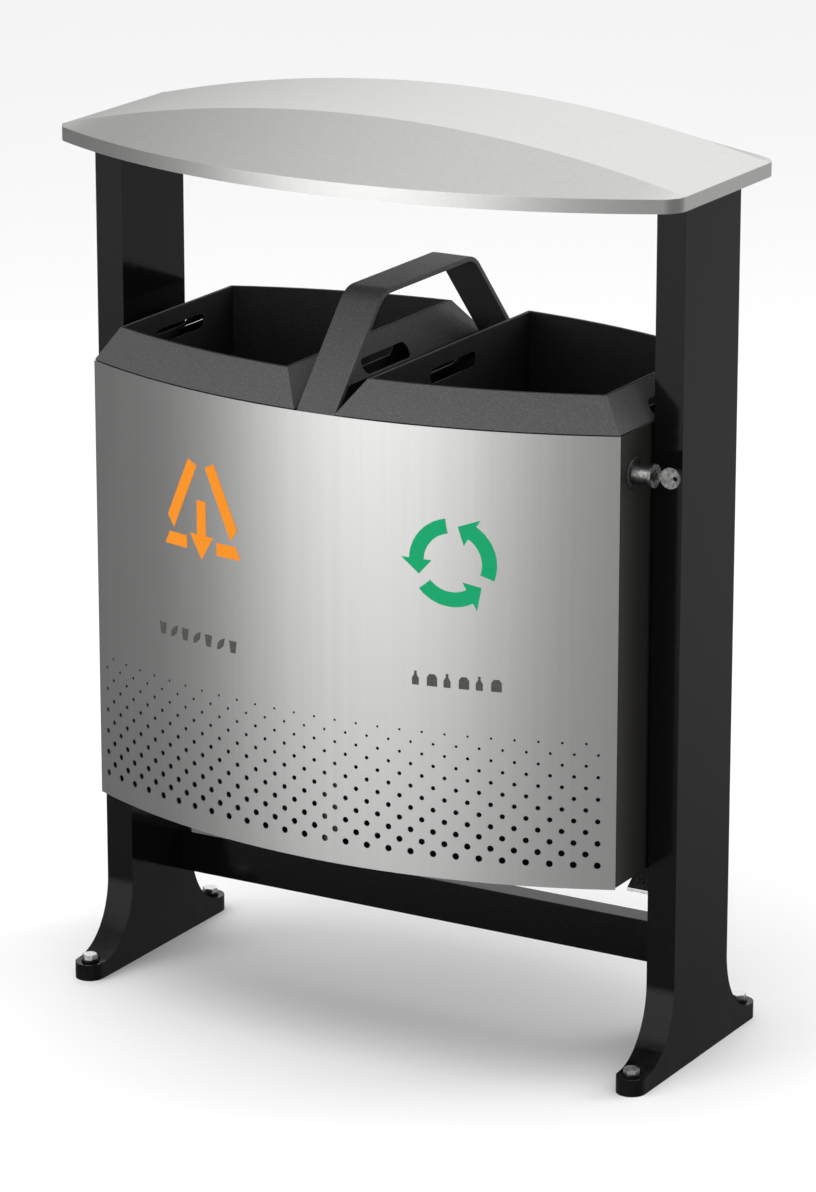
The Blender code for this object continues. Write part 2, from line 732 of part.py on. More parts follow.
def handle_nuts():
    """A cap nut on each of the four studs that hold the strap's tails."""
    y = HOUSING_APEX_Y - PANEL_SHEET - 0.0008 - HANDLE_THICKNESS - GAP
    made = []
    for facing, end_name in ((-1, "front"), (1, "rear")):
        for x, side_name in ((-0.013, "left"), (0.013, "right")):
            name = f"handle_nut_{end_name}_{side_name}"
            profile = [(0.0, 0.0), (0.0065, 0.0), (0.0065, -0.004), (0.0045, -0.0065), (0.0, -0.0075)]
            place = (x, facing * y, HOUSING_TOP - 0.048)
            outward = "Y" if facing > 0 else "-Y"
            made.append(turned(name, profile, place, outward, ZINC, steps=16))
    return made


# Lock

def lock_fixed_pieces():
    """Rosette, barrel, ring nut and bolt guide, all held by the right side wall."""
    outer = HOUSING_HALF_WIDTH - GAP
    inner = outer - PANEL_SHEET
    axis = (0.0, LOCK_Y, LOCK_Z)
    low, high = outer + GAP, outer + 0.0022
    rosette = washer("lock_rosette", BARREL_HOLE, ROSETTE_RADIUS, low, high, axis, "X", LOCK_METAL)
    bore = PLUG_RADIUS + GAP
    profile = [
        (bore, BARREL_FACE_X),
        (BARREL_FLANGE_RADIUS, BARREL_FACE_X),
        (BARREL_FLANGE_RADIUS, BARREL_FLANGE_X),
        (0.0105, BARREL_FLANGE_X - 0.001),
        (0.0120, outer + 0.0026),
        (BARREL_NECK, outer + 0.0026),
        (BARREL_NECK, BARREL_BACK_X),
        (bore, BARREL_BACK_X),
    ]
    barrel = turned("lock_barrel", profile, axis, "X", LOCK_METAL, ring=True, steps=32)
    nut = hex_prism("lock_ring_nut", 0.026, inner - GAP - 0.0045, inner - GAP, axis, "X", ZINC)
    cut(nut, rod("lock_ring_nut_bore", BARREL_HOLE, 0.32, 0.35, axis, "X", ZINC))
    place = (0.0, BOLT_Y, LOCK_Z)
    bore = BOLT_RADIUS + 0.0004
    guide = washer("lock_bolt_guide", bore, 0.009, BARREL_BACK_X, inner - GAP, place, "X", NYLON)
    return [rosette, barrel, nut, guide]


def lock_plug():
    """The turning plug with its keyway, and a quick thread on its tail that drives the bolt."""
    profile = [
        (0.0, PLUG_FACE_X),
        (PLUG_RADIUS, PLUG_FACE_X),
        (PLUG_RADIUS, PLUG_BACK_X),
        (PLUG_TAIL_RADIUS, PLUG_BACK_X),
        (PLUG_TAIL_RADIUS, PLUG_TAIL_X),
        (0.0, PLUG_TAIL_X),
    ]
    plug = turned("lock_plug", profile, (0.0, LOCK_Y, LOCK_Z), "X", LOCK_METAL)
    low = (KEYWAY_BOTTOM_X, LOCK_Y - KEYWAY_HALF_WIDTH, LOCK_Z - KEYWAY_HALF_HEIGHT)
    high = (PLUG_FACE_X + 0.002, LOCK_Y + KEYWAY_HALF_WIDTH, LOCK_Z + KEYWAY_HALF_HEIGHT)
    cut(plug, block("lock_keyway", low, high, ZINC))
    return plug


def lock_bolt():
    """A carrier plate on the plug's tail with the round bolt that it pushes into the post."""
    margin = BOLT_PLATE_MARGIN
    low = (BOLT_PLATE_LOW_X, LOCK_Y - margin, LOCK_Z - margin)
    high = (BOLT_PLATE_HIGH_X, BOLT_Y + margin, LOCK_Z + margin)
    obj = block("lock_bolt", low, high, ZINC)
    pin_low = BOLT_PLATE_LOW_X + 0.001
    pin_high = HOUSING_HALF_WIDTH - 2 * GAP
    place = (0.0, BOLT_Y, LOCK_Z)
    join(obj, rod("lock_bolt_pin", BOLT_RADIUS, pin_low, pin_high, place, "X", ZINC))
    place = (0.0, LOCK_Y, LOCK_Z)
    cut(obj, rod("lock_bolt_thread", PLUG_TAIL_RADIUS + GAP, 0.30, 0.33, place, "X", ZINC))
    return obj


def key():
    """A round-bow key standing in the plug."""
    half = KEY_HALF_THICKNESS
    radius = KEY_BOW_RADIUS
    profile = [(0.0, half), (radius, half), (radius, -half), (0.0, -half)]
    obj = turned("key", profile, (KEY_BOW_X, LOCK_Y, LOCK_Z), "Y", LOCK_METAL, steps=32)
    low = (KEY_TIP_X, LOCK_Y - half, LOCK_Z - KEY_BLADE_HALF)
    high = (KEY_BOW_X - 0.008, LOCK_Y + half, LOCK_Z + KEY_BLADE_HALF)
    join(obj, block("key_blade", low, high, LOCK_METAL))
    place = (KEY_BOW_X + 0.006, LOCK_Y, LOCK_Z)
    cut(obj, rod("key_hole", KEY_HOLE_RADIUS, -0.01, 0.01, place, "Y", LOCK_METAL, steps=16))
    return obj


# Bins

def bin_outline(side, inset_x, apex):
    low, high = x_span(side, BIN_INNER_X + inset_x, BIN_OUTER_X - inset_x)
    return lens(low, high, apex, 10)


def hand_slot_cutter(name, low, high):
    """A slot with round ends, running along X from low to high."""
    radius = SLOT_HEIGHT / 2
    reach = SLOT_HALF_LENGTH - radius
    right = [math.radians(-90 + 30 * i) for i in range(7)]
    outline = [(reach + radius * math.cos(a), SLOT_Z + radius * math.sin(a)) for a in right]
    outline += [(-y, 2 * SLOT_Z - z) for y, z in outline]
    return prism(name, outline, low, high, BIN_POWDER, axis="X")


def cut_hand_slots(obj, side):
    """Opens the grip slots through the two side walls of a bin or a collar."""
    middle = (BIN_INNER_X + BIN_OUTER_X) / 2
    for end_name, near, far in (("inner", 0.015, middle), ("outer", middle + 0.01, 0.36)):
        low, high = x_span(side, near, far)
        cut(obj, hand_slot_cutter(f"{obj.name}_{end_name}_slot", low, high))


def bin_collar(name, side):
    """The sloping rim: it covers the housing's edge and rises to the mouth."""
    low = bin_outline(side, 0.0, HOUSING_APEX_Y - 0.0006)
    high = bin_outline(side, COLLAR_INSET, HOUSING_APEX_Y - 0.0006 - COLLAR_INSET_Y)
    rows = [at_height(low, COLLAR_BOTTOM), at_height(high, BIN_TOP)]
    obj = thicken(loft(name, rows, BIN_POWDER, closed=True), BIN_SHEET)
    cut_hand_slots(obj, side)
    return obj


def bin_body(name, side):
    """The tub that hangs from the collar and stands on the tray."""
    clear = COLLAR_INSET + 0.0024
    outline = bin_outline(side, clear, HOUSING_APEX_Y - 0.0006 - COLLAR_INSET_Y - 0.0026)
    bottom = HOUSING_BOTTOM + WALL_RISE + 0.0015 + 2 * GAP
    rows = [at_height(outline, bottom), at_height(outline, BIN_TOP - 0.0002)]
    obj = thicken(loft(name, rows, BIN_POWDER, closed=True, floor=True), BIN_SHEET)
    cut_hand_slots(obj, side)
    return obj


# Assembly: the fixed frame first, then the housing, then what rides in it

post("left_post", -1)
post("right_post", 1)
rear_rail()
anchors()
roof_shell()
roof_liner()
roof_stiffener()
for side_sign, side_word in ((-1, "left"), (1, "right")):
    roof_spigot(f"roof_spigot_{side_word}", side_sign)
    roof_screw(f"roof_screw_{side_word}", side_sign)
    tilt_stop(f"tilt_stop_{side_word}", side_sign)
    stop_screws(side_sign, side_word)

housing_pieces = [
    curved_panel("front_panel", -1),
    curved_panel("back_panel", 1),
    side_wall("left_side_wall", -1),
    side_wall("right_side_wall", 1),
    floor_tray(),
    centre_divider(),
    strap_handle(),
    pivot(-1, "left"),
    pivot(1, "right"),
    *handle_nuts(),
    *lock_fixed_pieces(),
]
housing_axis = carried_by("housing_tilt_axis", (0.0, PIVOT_Y, PIVOT_Z), None, housing_pieces)
lock_face = (PLUG_FACE_X, LOCK_Y, LOCK_Z)
plug_axis = carried_by("lock_turn_axis", lock_face, housing_axis, [lock_plug()])
carried_by("key_withdraw_axis", lock_face, plug_axis, [key()])
carried_by("lock_bolt_axis", (BOLT_PLATE_LOW_X, BOLT_Y, LOCK_Z), housing_axis, [lock_bolt()])
for side_sign, side_word in ((-1, "left"), (1, "right")):
    bin_centre = (side_sign * (BIN_INNER_X + BIN_OUTER_X) / 2, 0.0, HOUSING_TOP)
    tub = bin_body(f"{side_word}_bin", side_sign)
    collar = bin_collar(f"{side_word}_bin_collar", side_sign)
    carried_by(f"{side_word}_bin_lift_axis", bin_centre, housing_axis, [tub, collar])
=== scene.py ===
import math

import bmesh
import bpy
from mathutils import Matrix, Vector


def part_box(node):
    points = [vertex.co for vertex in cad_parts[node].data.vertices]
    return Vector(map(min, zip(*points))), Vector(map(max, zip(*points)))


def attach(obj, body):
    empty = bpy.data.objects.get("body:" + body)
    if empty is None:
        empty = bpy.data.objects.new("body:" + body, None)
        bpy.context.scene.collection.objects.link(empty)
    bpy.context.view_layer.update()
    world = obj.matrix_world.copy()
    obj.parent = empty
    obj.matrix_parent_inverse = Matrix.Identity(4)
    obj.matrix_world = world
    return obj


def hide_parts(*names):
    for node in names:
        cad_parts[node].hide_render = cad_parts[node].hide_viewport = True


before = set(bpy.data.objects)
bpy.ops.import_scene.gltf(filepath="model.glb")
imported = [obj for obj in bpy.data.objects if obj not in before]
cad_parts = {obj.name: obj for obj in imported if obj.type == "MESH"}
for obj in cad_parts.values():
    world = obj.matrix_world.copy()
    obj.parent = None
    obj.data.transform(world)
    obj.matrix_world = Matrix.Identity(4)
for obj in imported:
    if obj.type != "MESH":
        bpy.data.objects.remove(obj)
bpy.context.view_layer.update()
scene = bpy.context.scene
scene.view_settings.view_transform = "Standard"


# Studio: a pale floor, a white sweep behind it, and soft cards of light that the steel mirrors.
# The cards are parts of the world, so the brushed sheet shows them as long soft bands.

FLOAT = "NodeSocketFloat"
INTEGER = "NodeSocketInt"
VECTOR = "NodeSocketVector"
GEOMETRY = "NodeSocketGeometry"
MATERIAL = "NodeSocketMaterial"
SHADING = "ShaderNodeTree"
SHAPING = "GeometryNodeTree"
WHITE = (1.0, 1.0, 1.0, 1.0)


def add(tree, kind, inputs=None, **settings):
    """A node whose inputs, named or numbered, take values or other nodes' sockets."""
    made = tree.nodes.new(kind)
    for name, value in settings.items():
        setattr(made, name, value)
    for key, value in (inputs or {}).items():
        for each in value if isinstance(value, list) else [value]:
            if isinstance(each, bpy.types.NodeSocket):
                tree.links.new(each, made.inputs[key])
            else:
                made.inputs[key].default_value = each
    return made


def calc(tree, operation, *terms):
    """The result of one Math node."""
    return add(tree, "ShaderNodeMath", dict(enumerate(terms)), operation=operation).outputs[0]


def ramp(tree, value, low, high, to_low=0.0, to_high=1.0, smooth=False):
    """A value carried from one range to another and held at its ends."""
    kind = "SMOOTHSTEP" if smooth else "LINEAR"
    sockets = {"Value": value, "From Min": low, "From Max": high, "To Min": to_low, "To Max": to_high}
    return add(tree, "ShaderNodeMapRange", sockets, interpolation_type=kind).outputs["Result"]


def noise(tree, vector, scale, detail, roughness=0.5):
    """A noise texture's value at the given coordinates."""
    sockets = {"Vector": vector, "Scale": scale, "Detail": detail, "Roughness": roughness}
    return add(tree, "ShaderNodeTexNoise", sockets).outputs["Fac"]


def tint(tree, mask, low_colour, high_colour, shader):
    """Drives the base colour from one colour to another by a mask."""
    sockets = {0: mask, 6: (*low_colour, 1.0), 7: (*high_colour, 1.0)}
    mix = add(tree, "ShaderNodeMix", sockets, data_type="RGBA")
    tree.links.new(mix.outputs[2], shader.inputs["Base Color"])


def group(name, kind, inputs, outputs):
    """A node group with named sockets, its inputs as (name, type, value) and outputs as (name, type)."""
    tree = bpy.data.node_groups.new(name, kind)
    for label, socket_type, value in inputs:
        socket = tree.interface.new_socket(label, in_out="INPUT", socket_type=socket_type)
        if value is not None:
            socket.default_value = value
    for label, socket_type in outputs:
        tree.interface.new_socket(label, in_out="OUTPUT", socket_type=socket_type)
    return tree, tree.nodes.new("NodeGroupInput").outputs, tree.nodes.new("NodeGroupOutput").inputs


def studio_card_group():
    """How strongly a soft card of light shows in a direction: azimuth 0 is behind, 180 in front."""
    tree, given, result = group(
        "studio_card",
        SHADING,
        [
            ("Direction", VECTOR, None),
            ("Azimuth", FLOAT, 0.0),
            ("Half Width", FLOAT, 0.3),
            ("Low", FLOAT, -0.5),
            ("High", FLOAT, 0.5),
            ("Side Fade", FLOAT, 0.2),
            ("Low Fade", FLOAT, 0.2),
            ("High Fade", FLOAT, 0.2),
        ],
        [("Strength", FLOAT)],
    )
    turned = add(
        tree,
        "ShaderNodeVectorRotate",
        {"Vector": given["Direction"], "Angle": calc(tree, "MULTIPLY", given["Azimuth"], -1.0)},
        rotation_type="Z_AXIS",
    )
    parts = add(tree, "ShaderNodeSeparateXYZ", {0: turned.outputs[0]})
    swing = calc(tree, "ABSOLUTE", calc(tree, "ARCTAN2", parts.outputs["X"], parts.outputs["Y"]))
    rise = calc(tree, "ARCSINE", parts.outputs["Z"])
    edge = calc(tree, "ADD", given["Half Width"], given["Side Fade"])
    across = ramp(tree, swing, given["Half Width"], edge, 1.0, 0.0, smooth=True)
    below = calc(tree, "SUBTRACT", given["Low"], given["Low Fade"])
    above = calc(tree, "ADD", given["High"], given["High Fade"])
    from_low = ramp(tree, rise, below, given["Low"], smooth=True)
    to_high = ramp(tree, rise, given["High"], above, 1.0, 0.0, smooth=True)
    upright = calc(tree, "MULTIPLY", from_low, to_high)
    tree.links.new(calc(tree, "MULTIPLY", across, upright), result["Strength"])
    return tree


# Each card in degrees: azimuth (0 behind, 90 left, 180 in front), half width, lowest and highest
# elevation, then how far its sides, its lower and its upper edge fade out; its strength comes last.
STUDIO_CARDS = (
    (162, 6, -10, 40, 31, 12, 20, 2.55),
    (215, 14, -30, 30, 14, 12, 20, 0.14),
    (18, 14, 24, 34, 16, 30, 14, 1.15),
    (-30, 22, -15, 20, 15, 9, 20, 0.38),
    (0, 180, 60, 90, 10, 32, 5, 0.75),
)
DIM_STUDIO = 0.20


def studio_world():
    """Plain white light for everything but reflections, which show the dim studio and its cards."""
    world = bpy.data.worlds.new("studio")
    world.use_nodes = True
    tree = world.node_tree
    tree.nodes.clear()
    direction = add(tree, "ShaderNodeTexCoord").outputs["Generated"]
    card_group = studio_card_group()
    mirrored = DIM_STUDIO
    labels = ("Azimuth", "Half Width", "Low", "High", "Side Fade", "Low Fade", "High Fade")
    for *sizes, strength in STUDIO_CARDS:
        card = add(tree, "ShaderNodeGroup", node_tree=card_group)
        tree.links.new(direction, card.inputs["Direction"])
        for label, degrees in zip(labels, sizes):
            card.inputs[label].default_value = math.radians(degrees)
        mirrored = calc(tree, "MULTIPLY_ADD", card.outputs["Strength"], strength, mirrored)
    path = add(tree, "ShaderNodeLightPath")
    lit = add(tree, "ShaderNodeBackground", {"Color": WHITE, "Strength": 1.0})
    shown = add(tree, "ShaderNodeBackground", {"Color": WHITE, "Strength": mirrored})
    sockets = {0: path.outputs["Is Glossy Ray"], 1: lit.outputs[0], 2: shown.outputs[0]}
    pick = add(tree, "ShaderNodeMixShader", sockets)
    add(tree, "ShaderNodeOutputWorld", {"Surface": pick.outputs[0]})
    scene.world = world


def new_material(name, base, roughness, metallic, **sockets):
    """A Principled material: (its tree, its shader). Uniform values sit on the shader's own sockets."""
    made = bpy.data.materials.new(name)
    made.use_nodes = True
    tree = made.node_tree
    shader = tree.nodes["Principled BSDF"]
    shader.inputs["Base Color"].default_value = (*base, 1.0)
    shader.inputs["Roughness"].default_value = roughness
    shader.inputs["Metallic"].default_value = metallic
    for label, value in sockets.items():
        shader.inputs[label.replace("_", " ")].default_value = value
    return made, tree, shader


def lay_floor():
    bpy.ops.mesh.primitive_plane_add(size=40.0, location=(0.0, 0.0, 0.0))
    floor = bpy.context.object
    floor.name = "studio_floor"
    made, tree, shader = new_material("floor_paper", (0.88, 0.88, 0.88), 0.9, 0.0)
    grain = add(tree, "ShaderNodeTexNoise", {"Scale": 3.0})
    tint(tree, grain.outputs["Fac"], (0.87, 0.87, 0.87), (0.89, 0.89, 0.89), shader)
    floor.data.materials.append(made)
    floor.visible_glossy = False


def soft_light(name, place, target, width, height, power):
    data = bpy.data.lights.new(name, "AREA")
    data.shape = "RECTANGLE"
    data.size = width
    data.size_y = height
    data.energy = power
    light = bpy.data.objects.new(name, data)
    light.location = place
    light.rotation_euler = (Vector(target) - Vector(place)).to_track_quat("-Z", "Y").to_euler()
    light.visible_glossy = False
    light.visible_camera = False
    scene.collection.objects.link(light)


CAMERA_PLACE = (2.8481, -4.9419, 2.2016)
CAMERA_DOWN = 16.70
CAMERA_TURN = 29.99
CAMERA_LENS = 156.7


def set_camera():
    data = bpy.data.cameras.new("camera")
    data.lens = CAMERA_LENS
    data.clip_end = 200.0
    camera = bpy.data.objects.new("camera", data)
    camera.location = CAMERA_PLACE
    camera.rotation_euler = (math.radians(90.0 - CAMERA_DOWN), 0.0, math.radians(CAMERA_TURN))
    scene.collection.objects.link(camera)
    scene.camera = camera


studio_world()
lay_floor()
soft_light("overhead", (-0.4, -0.6, 3.6), (0.0, 0.0, 0.5), 3.0, 3.0, 42.0)
soft_light("front_left", (-2.4, -3.0, 1.8), (0.0, 0.0, 0.6), 1.6, 2.2, 26.0)
soft_light("right_rear", (3.0, 2.5, 1.6), (0.0, 0.0, 0.8), 1.6, 1.6, 48.0)
set_camera()


# Finishes that several pieces share, and the group of each effect.

def fine_texture_group():
    """The tiny pebbles of a textured powder coat, as a height and as a fleck mask."""
    tree, given, result = group(
        "powder_pebbles",
        SHADING,
        [("Vector", VECTOR, None), ("Scale", FLOAT, 900.0)],
        [("Height", FLOAT), ("Fleck", FLOAT)],
    )
    pebbles = noise(tree, given["Vector"], given["Scale"], 2.0)
    drift = noise(tree, given["Vector"], calc(tree, "MULTIPLY", given["Scale"], 0.31), 1.0)
    tree.links.new(calc(tree, "ADD", pebbles, drift), result["Height"])
    tree.links.new(ramp(tree, pebbles, 0.45, 0.72), result["Fleck"])
    return tree


def grain_group():
    """Brush lines that run along Z, as a streak mask and a finer scratch mask."""
    tree, given, result = group(
        "brush_lines",
        SHADING,
        [("Vector", VECTOR, None), ("Along", FLOAT, 4.0), ("Across", FLOAT, 700.0)],
        [("Streak", FLOAT), ("Scratch", FLOAT)],
    )
    sizes = {0: given["Across"], 1: given["Across"], 2: given["Along"]}
    sockets = {0: given["Vector"], 1: add(tree, "ShaderNodeCombineXYZ", sizes).outputs[0]}
    scaled = add(tree, "ShaderNodeVectorMath", sockets, operation="MULTIPLY").outputs[0]
    tree.links.new(noise(tree, scaled, 0.28, 3.0), result["Streak"])
    tree.links.new(noise(tree, scaled, 2.2, 4.0, 0.7), result["Scratch"])
    return tree


def dust_group():
    """Where dust has settled: low on the piece and on what faces up, broken up by a soft mottle."""
    tree, given, result = group(
        "settled_dust",
        SHADING,
        [("Vector", VECTOR, None), ("Top", FLOAT, 0.15), ("Amount", FLOAT, 0.3)],
        [("Mask", FLOAT)],
    )
    height = add(tree, "ShaderNodeSeparateXYZ", {0: given["Vector"]}).outputs["Z"]
    normal = add(tree, "ShaderNodeNewGeometry").outputs["Normal"]
    facing = add(tree, "ShaderNodeSeparateXYZ", {0: normal}).outputs["Z"]
    low = ramp(tree, height, given["Top"], 0.0, smooth=True)
    upward = ramp(tree, facing, 0.3, 0.95, 0.25, 1.0)
    broken = ramp(tree, noise(tree, given["Vector"], 24.0, 5.0, 0.65), 0.42, 0.68)
    lying = calc(tree, "MULTIPLY", calc(tree, "MULTIPLY", low, upward), broken)
    tree.links.new(calc(tree, "MULTIPLY", lying, given["Amount"]), result["Mask"])
    return tree


PEBBLES = fine_texture_group()
BRUSH_LINES = grain_group()
DUST = dust_group()


def place_group(tree, shared, **values):
    """A shared effect placed in a material, reading Object coordinates."""
    node = add(tree, "ShaderNodeGroup", node_tree=shared)
    tree.links.new(add(tree, "ShaderNodeTexCoord").outputs["Object"], node.inputs["Vector"])
    for label, value in values.items():
        node.inputs[label].default_value = value
    return node


def mottle(tree, scale, detail, roughness=0.5):
    """Noise on the piece's own coordinates."""
    here = add(tree, "ShaderNodeTexCoord").outputs["Object"]
    return noise(tree, here, scale, detail, roughness)


def roughen(tree, value, low, high, from_rough, to_rough, shader):
    """Drives the roughness by a value between two levels."""
    tree.links.new(ramp(tree, value, low, high, from_rough, to_rough), shader.inputs["Roughness"])


def bump(tree, height, strength, distance, shader):
    node = add(tree, "ShaderNodeBump", {"Height": height, "Strength": strength, "Distance": distance})
    tree.links.new(node.outputs[0], shader.inputs["Normal"])


def gloss_paint():
    """Gloss black powder coat: a slight orange peel, and dust on the feet."""
    black = (0.004, 0.004, 0.0043)
    made, tree, shader = new_material("gloss_black_paint", black, 0.12, 0.0, Specular_IOR_Level=0.12)
    peel = place_group(tree, PEBBLES, Scale=160.0)
    bump(tree, peel.outputs["Height"], 0.10, 0.0004, shader)
    dust = place_group(tree, DUST, Top=0.10, Amount=0.22)
    tint(tree, dust.outputs["Mask"], black, (0.060, 0.057, 0.052), shader)
    clean = ramp(tree, peel.outputs["Fleck"], 0.0, 1.0, 0.10, 0.16)
    tree.links.new(calc(tree, "MULTIPLY_ADD", dust.outputs["Mask"], 0.6, clean), shader.inputs["Roughness"])
    return made


def textured_powder(name, colour, fleck, polish):
    """Fine-textured powder coat with paler flecks, smoother than the rest by the polish."""
    made, tree, shader = new_material(name, colour, 0.55, 0.0, Specular_IOR_Level=0.40)
    pebbles = place_group(tree, PEBBLES, Scale=820.0)
    bump(tree, pebbles.outputs["Height"], 0.55, 0.0006, shader)
    tint(tree, pebbles.outputs["Fleck"], colour, fleck, shader)
    roughen(tree, pebbles.outputs["Fleck"], 0.0, 1.0, 0.54, 0.54 - polish, shader)
    return made


def satin_side_paint():
    """Satin near-black paint with a faint vertical sweep from the spray gun."""
    base = (0.020, 0.019, 0.017)
    made, tree, shader = new_material("satin_side_paint", base, 0.40, 0.0, Specular_IOR_Level=0.35)
    sweep = place_group(tree, BRUSH_LINES, Along=1.5, Across=40.0)
    tint(tree, sweep.outputs["Streak"], (0.014, 0.0135, 0.0125), (0.026, 0.025, 0.022), shader)
    peel = place_group(tree, PEBBLES, Scale=420.0)
    bump(tree, peel.outputs["Height"], 0.18, 0.0003, shader)
    roughen(tree, peel.outputs["Fleck"], 0.0, 1.0, 0.36, 0.46, shader)
    return made


def bright_zinc():
    """Bright zinc plate: faint yellow-blue mottle and fine polishing marks."""
    made, tree, shader = new_material("bright_zinc", (0.66, 0.67, 0.68), 0.30, 1.0)
    cloud = mottle(tree, 210.0, 4.0)
    tint(tree, cloud, (0.58, 0.60, 0.63), (0.76, 0.75, 0.71), shader)
    roughen(tree, cloud, 0.3, 0.7, 0.22, 0.42, shader)
    bump(tree, cloud, 0.12, 0.0002, shader)
    return made


def worn_nickel():
    """Nickel-plated lock metal, duller and darker in soft patches."""
    made, tree, shader = new_material("worn_nickel", (0.17, 0.17, 0.165), 0.36, 1.0)
    patches = mottle(tree, 260.0, 5.0, 0.6)
    tint(tree, ramp(tree, patches, 0.38, 0.62), (0.10, 0.10, 0.098), (0.22, 0.22, 0.215), shader)
    roughen(tree, patches, 0.3, 0.7, 0.46, 0.30, shader)
    bump(tree, patches, 0.15, 0.0002, shader)
    return made


def natural_nylon():
    """Undyed nylon, slightly cloudy."""
    base = (0.74, 0.72, 0.66)
    made, tree, shader = new_material("natural_nylon", base, 0.45, 0.0, Subsurface_Weight=0.15)
    cloud = mottle(tree, 120.0, 3.0)
    tint(tree, cloud, (0.66, 0.64, 0.58), (0.80, 0.78, 0.72), shader)
    roughen(tree, cloud, 0.3, 0.7, 0.38, 0.55, shader)
    return made


GLOSS_PAINT = gloss_paint()
COLLAR_POWDER = textured_powder("collar_powder", (0.053, 0.054, 0.056), (0.100, 0.101, 0.103), 0.14)
# The tubs get the collars' own powder coat painted near-black: painted shade for the deep inside of the
# bins.
TUB_POWDER_PAINTED_SHADE = textured_powder("tub_powder_painted_shade", (0.011, 0.011, 0.0115), (0.030, 0.030, 0.031), 0.10)
SIDE_PAINT = satin_side_paint()
ZINC = bright_zinc()
NICKEL = worn_nickel()
NYLON = natural_nylon()


def applied(obj):
    """Swaps an object's mesh for what its live modifiers make of it."""
    graph = bpy.context.evaluated_depsgraph_get()
    mesh = bpy.data.meshes.new_from_object(obj.evaluated_get(graph))
    obj.modifiers.clear()
    obj.data = mesh


def settled(obj, sharp=40.0):
    """Applies the modifiers, then shades smoothly with the large flat faces kept flat."""
    applied(obj)
    obj.data.shade_smooth()
    obj.data.set_sharp_from_angle(angle=math.radians(sharp))
    weighted = obj.modifiers.new("flat_faces_stay_flat", "WEIGHTED_NORMAL")
    weighted.keep_sharp = True
    applied(obj)
    return obj


def piece(name, bm, material, body, slot, *nodes, sharp=40.0, bevel=0.0):
    """Makes a bmesh a finished piece: rounded edges, its material, its body and what it stands for."""
    mesh = bpy.data.meshes.new(name)
    bm.to_mesh(mesh)
    bm.free()
    obj = bpy.data.objects.new(name, mesh)
    mesh.materials.append(material)
    scene.collection.objects.link(obj)
    if bevel:
        rounding = obj.modifiers.new("rounded_edges", "BEVEL")
        rounding.width = bevel
        rounding.segments = 2
        rounding.limit_method = "ANGLE"
        rounding.angle_limit = math.radians(30.0)
        rounding.use_clamp_overlap = True
    settled(obj, sharp)
    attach(obj, body)
    if nodes:
        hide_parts(*nodes)


def merged_copy(node):
    """A bmesh of a CAD node with its loose triangles merged and its flat faces made whole."""
    bm = bmesh.new()
    bm.from_mesh(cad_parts[node].data)
    bmesh.ops.remove_doubles(bm, verts=bm.verts, dist=0.00001)
    bmesh.ops.dissolve_limit(bm, angle_limit=math.radians(0.4), verts=bm.verts, edges=bm.edges)
    return bm


# Posts and rail: steel tube, welded, ground smooth and powder coated gloss black. Each post
# flares into a front and a rear pad, and the rail joins the two posts low at the back.

for side in ("left", "right"):
    painted = merged_copy(f"{side}_post")
    piece(f"{side}_post_painted", painted, GLOSS_PAINT, "frame", "post_paint", f"{side}_post", bevel=0.0010)
rail = merged_copy("rear_rail")
piece("rear_rail_painted", rail, GLOSS_PAINT, "frame", "post_paint", "rear_rail", bevel=0.0008)


# Fasteners: turned and cold-headed steel, bright zinc plated. One node tree makes each kind of
# head once and sets it on every point of its host; a turn of each head comes from a fixed seed.

def grown(name, tree, values, points=((0.0, 0.0, 0.0),)):
    """The plain mesh that a geometry-node tree makes on its host's points."""
    mesh = bpy.data.meshes.new(name)
    mesh.from_pydata(points, [], [])
    obj = bpy.data.objects.new(name, mesh)
    scene.collection.objects.link(obj)
    modifier = obj.modifiers.new(tree.name, "NODES")
    modifier.node_group = tree
    for item in tree.interface.items_tree:
        if item.in_out == "INPUT" and item.name in values:
            modifier[item.identifier] = values[item.name]
    return settled(obj)


def moved(tree, geometry, place=(0.0, 0.0, 0.0), scale=(1.0, 1.0, 1.0), turn=(0.0, 0.0, 0.0)):
    sockets = {"Geometry": geometry, "Translation": place, "Scale": scale, "Rotation": turn}
    return add(tree, "GeometryNodeTransform", sockets).outputs[0]


def merged(tree, operation, first, *others):
    """An exact mesh Boolean: a union of all, what they share, or the first one cut by the others."""
    sockets = {"Mesh 2": [first, *others]}
    if operation == "DIFFERENCE":
        sockets = {"Mesh 1": first, "Mesh 2": list(others)}
    return add(tree, "GeometryNodeMeshBoolean", sockets, operation=operation, solver="EXACT").outputs[0]


def drum(tree, sides, radius, low, high):
    """A cylinder or a prism standing between two heights."""
    depth = calc(tree, "SUBTRACT", high, low)
    half_way = calc(tree, "MULTIPLY", calc(tree, "ADD", high, low), 0.5)
    sockets = {"Vertices": sides, "Radius": radius, "Depth": depth}
    made = add(tree, "GeometryNodeMeshCylinder", sockets).outputs["Mesh"]
    lift = add(tree, "ShaderNodeCombineXYZ", {"Z": half_way}).outputs[0]
    return moved(tree, made, place=lift)


FASTENER_INPUTS = [
    ("Geometry", GEOMETRY, None),
    ("Head Width", FLOAT, 0.016),
    ("Head Height", FLOAT, 0.0064),
    ("Shank Radius", FLOAT, 0.005),
    ("Shank Length", FLOAT, 0.010),
    ("Facing", VECTOR, (0.0, 0.0, 1.0)),
    ("Turn", FLOAT, math.pi),
    ("Seed", INTEGER, 1),
    ("Material", MATERIAL, None),
]
ONE_GEOMETRY = [("Geometry", GEOMETRY)]


def finished(tree, given, result, geometry):
    """Gives the geometry its material and puts it out of the tree."""
    sockets = {"Geometry": geometry, "Material": given["Material"]}
    done = add(tree, "GeometryNodeSetMaterial", sockets).outputs[0]
    tree.links.new(done, result["Geometry"])


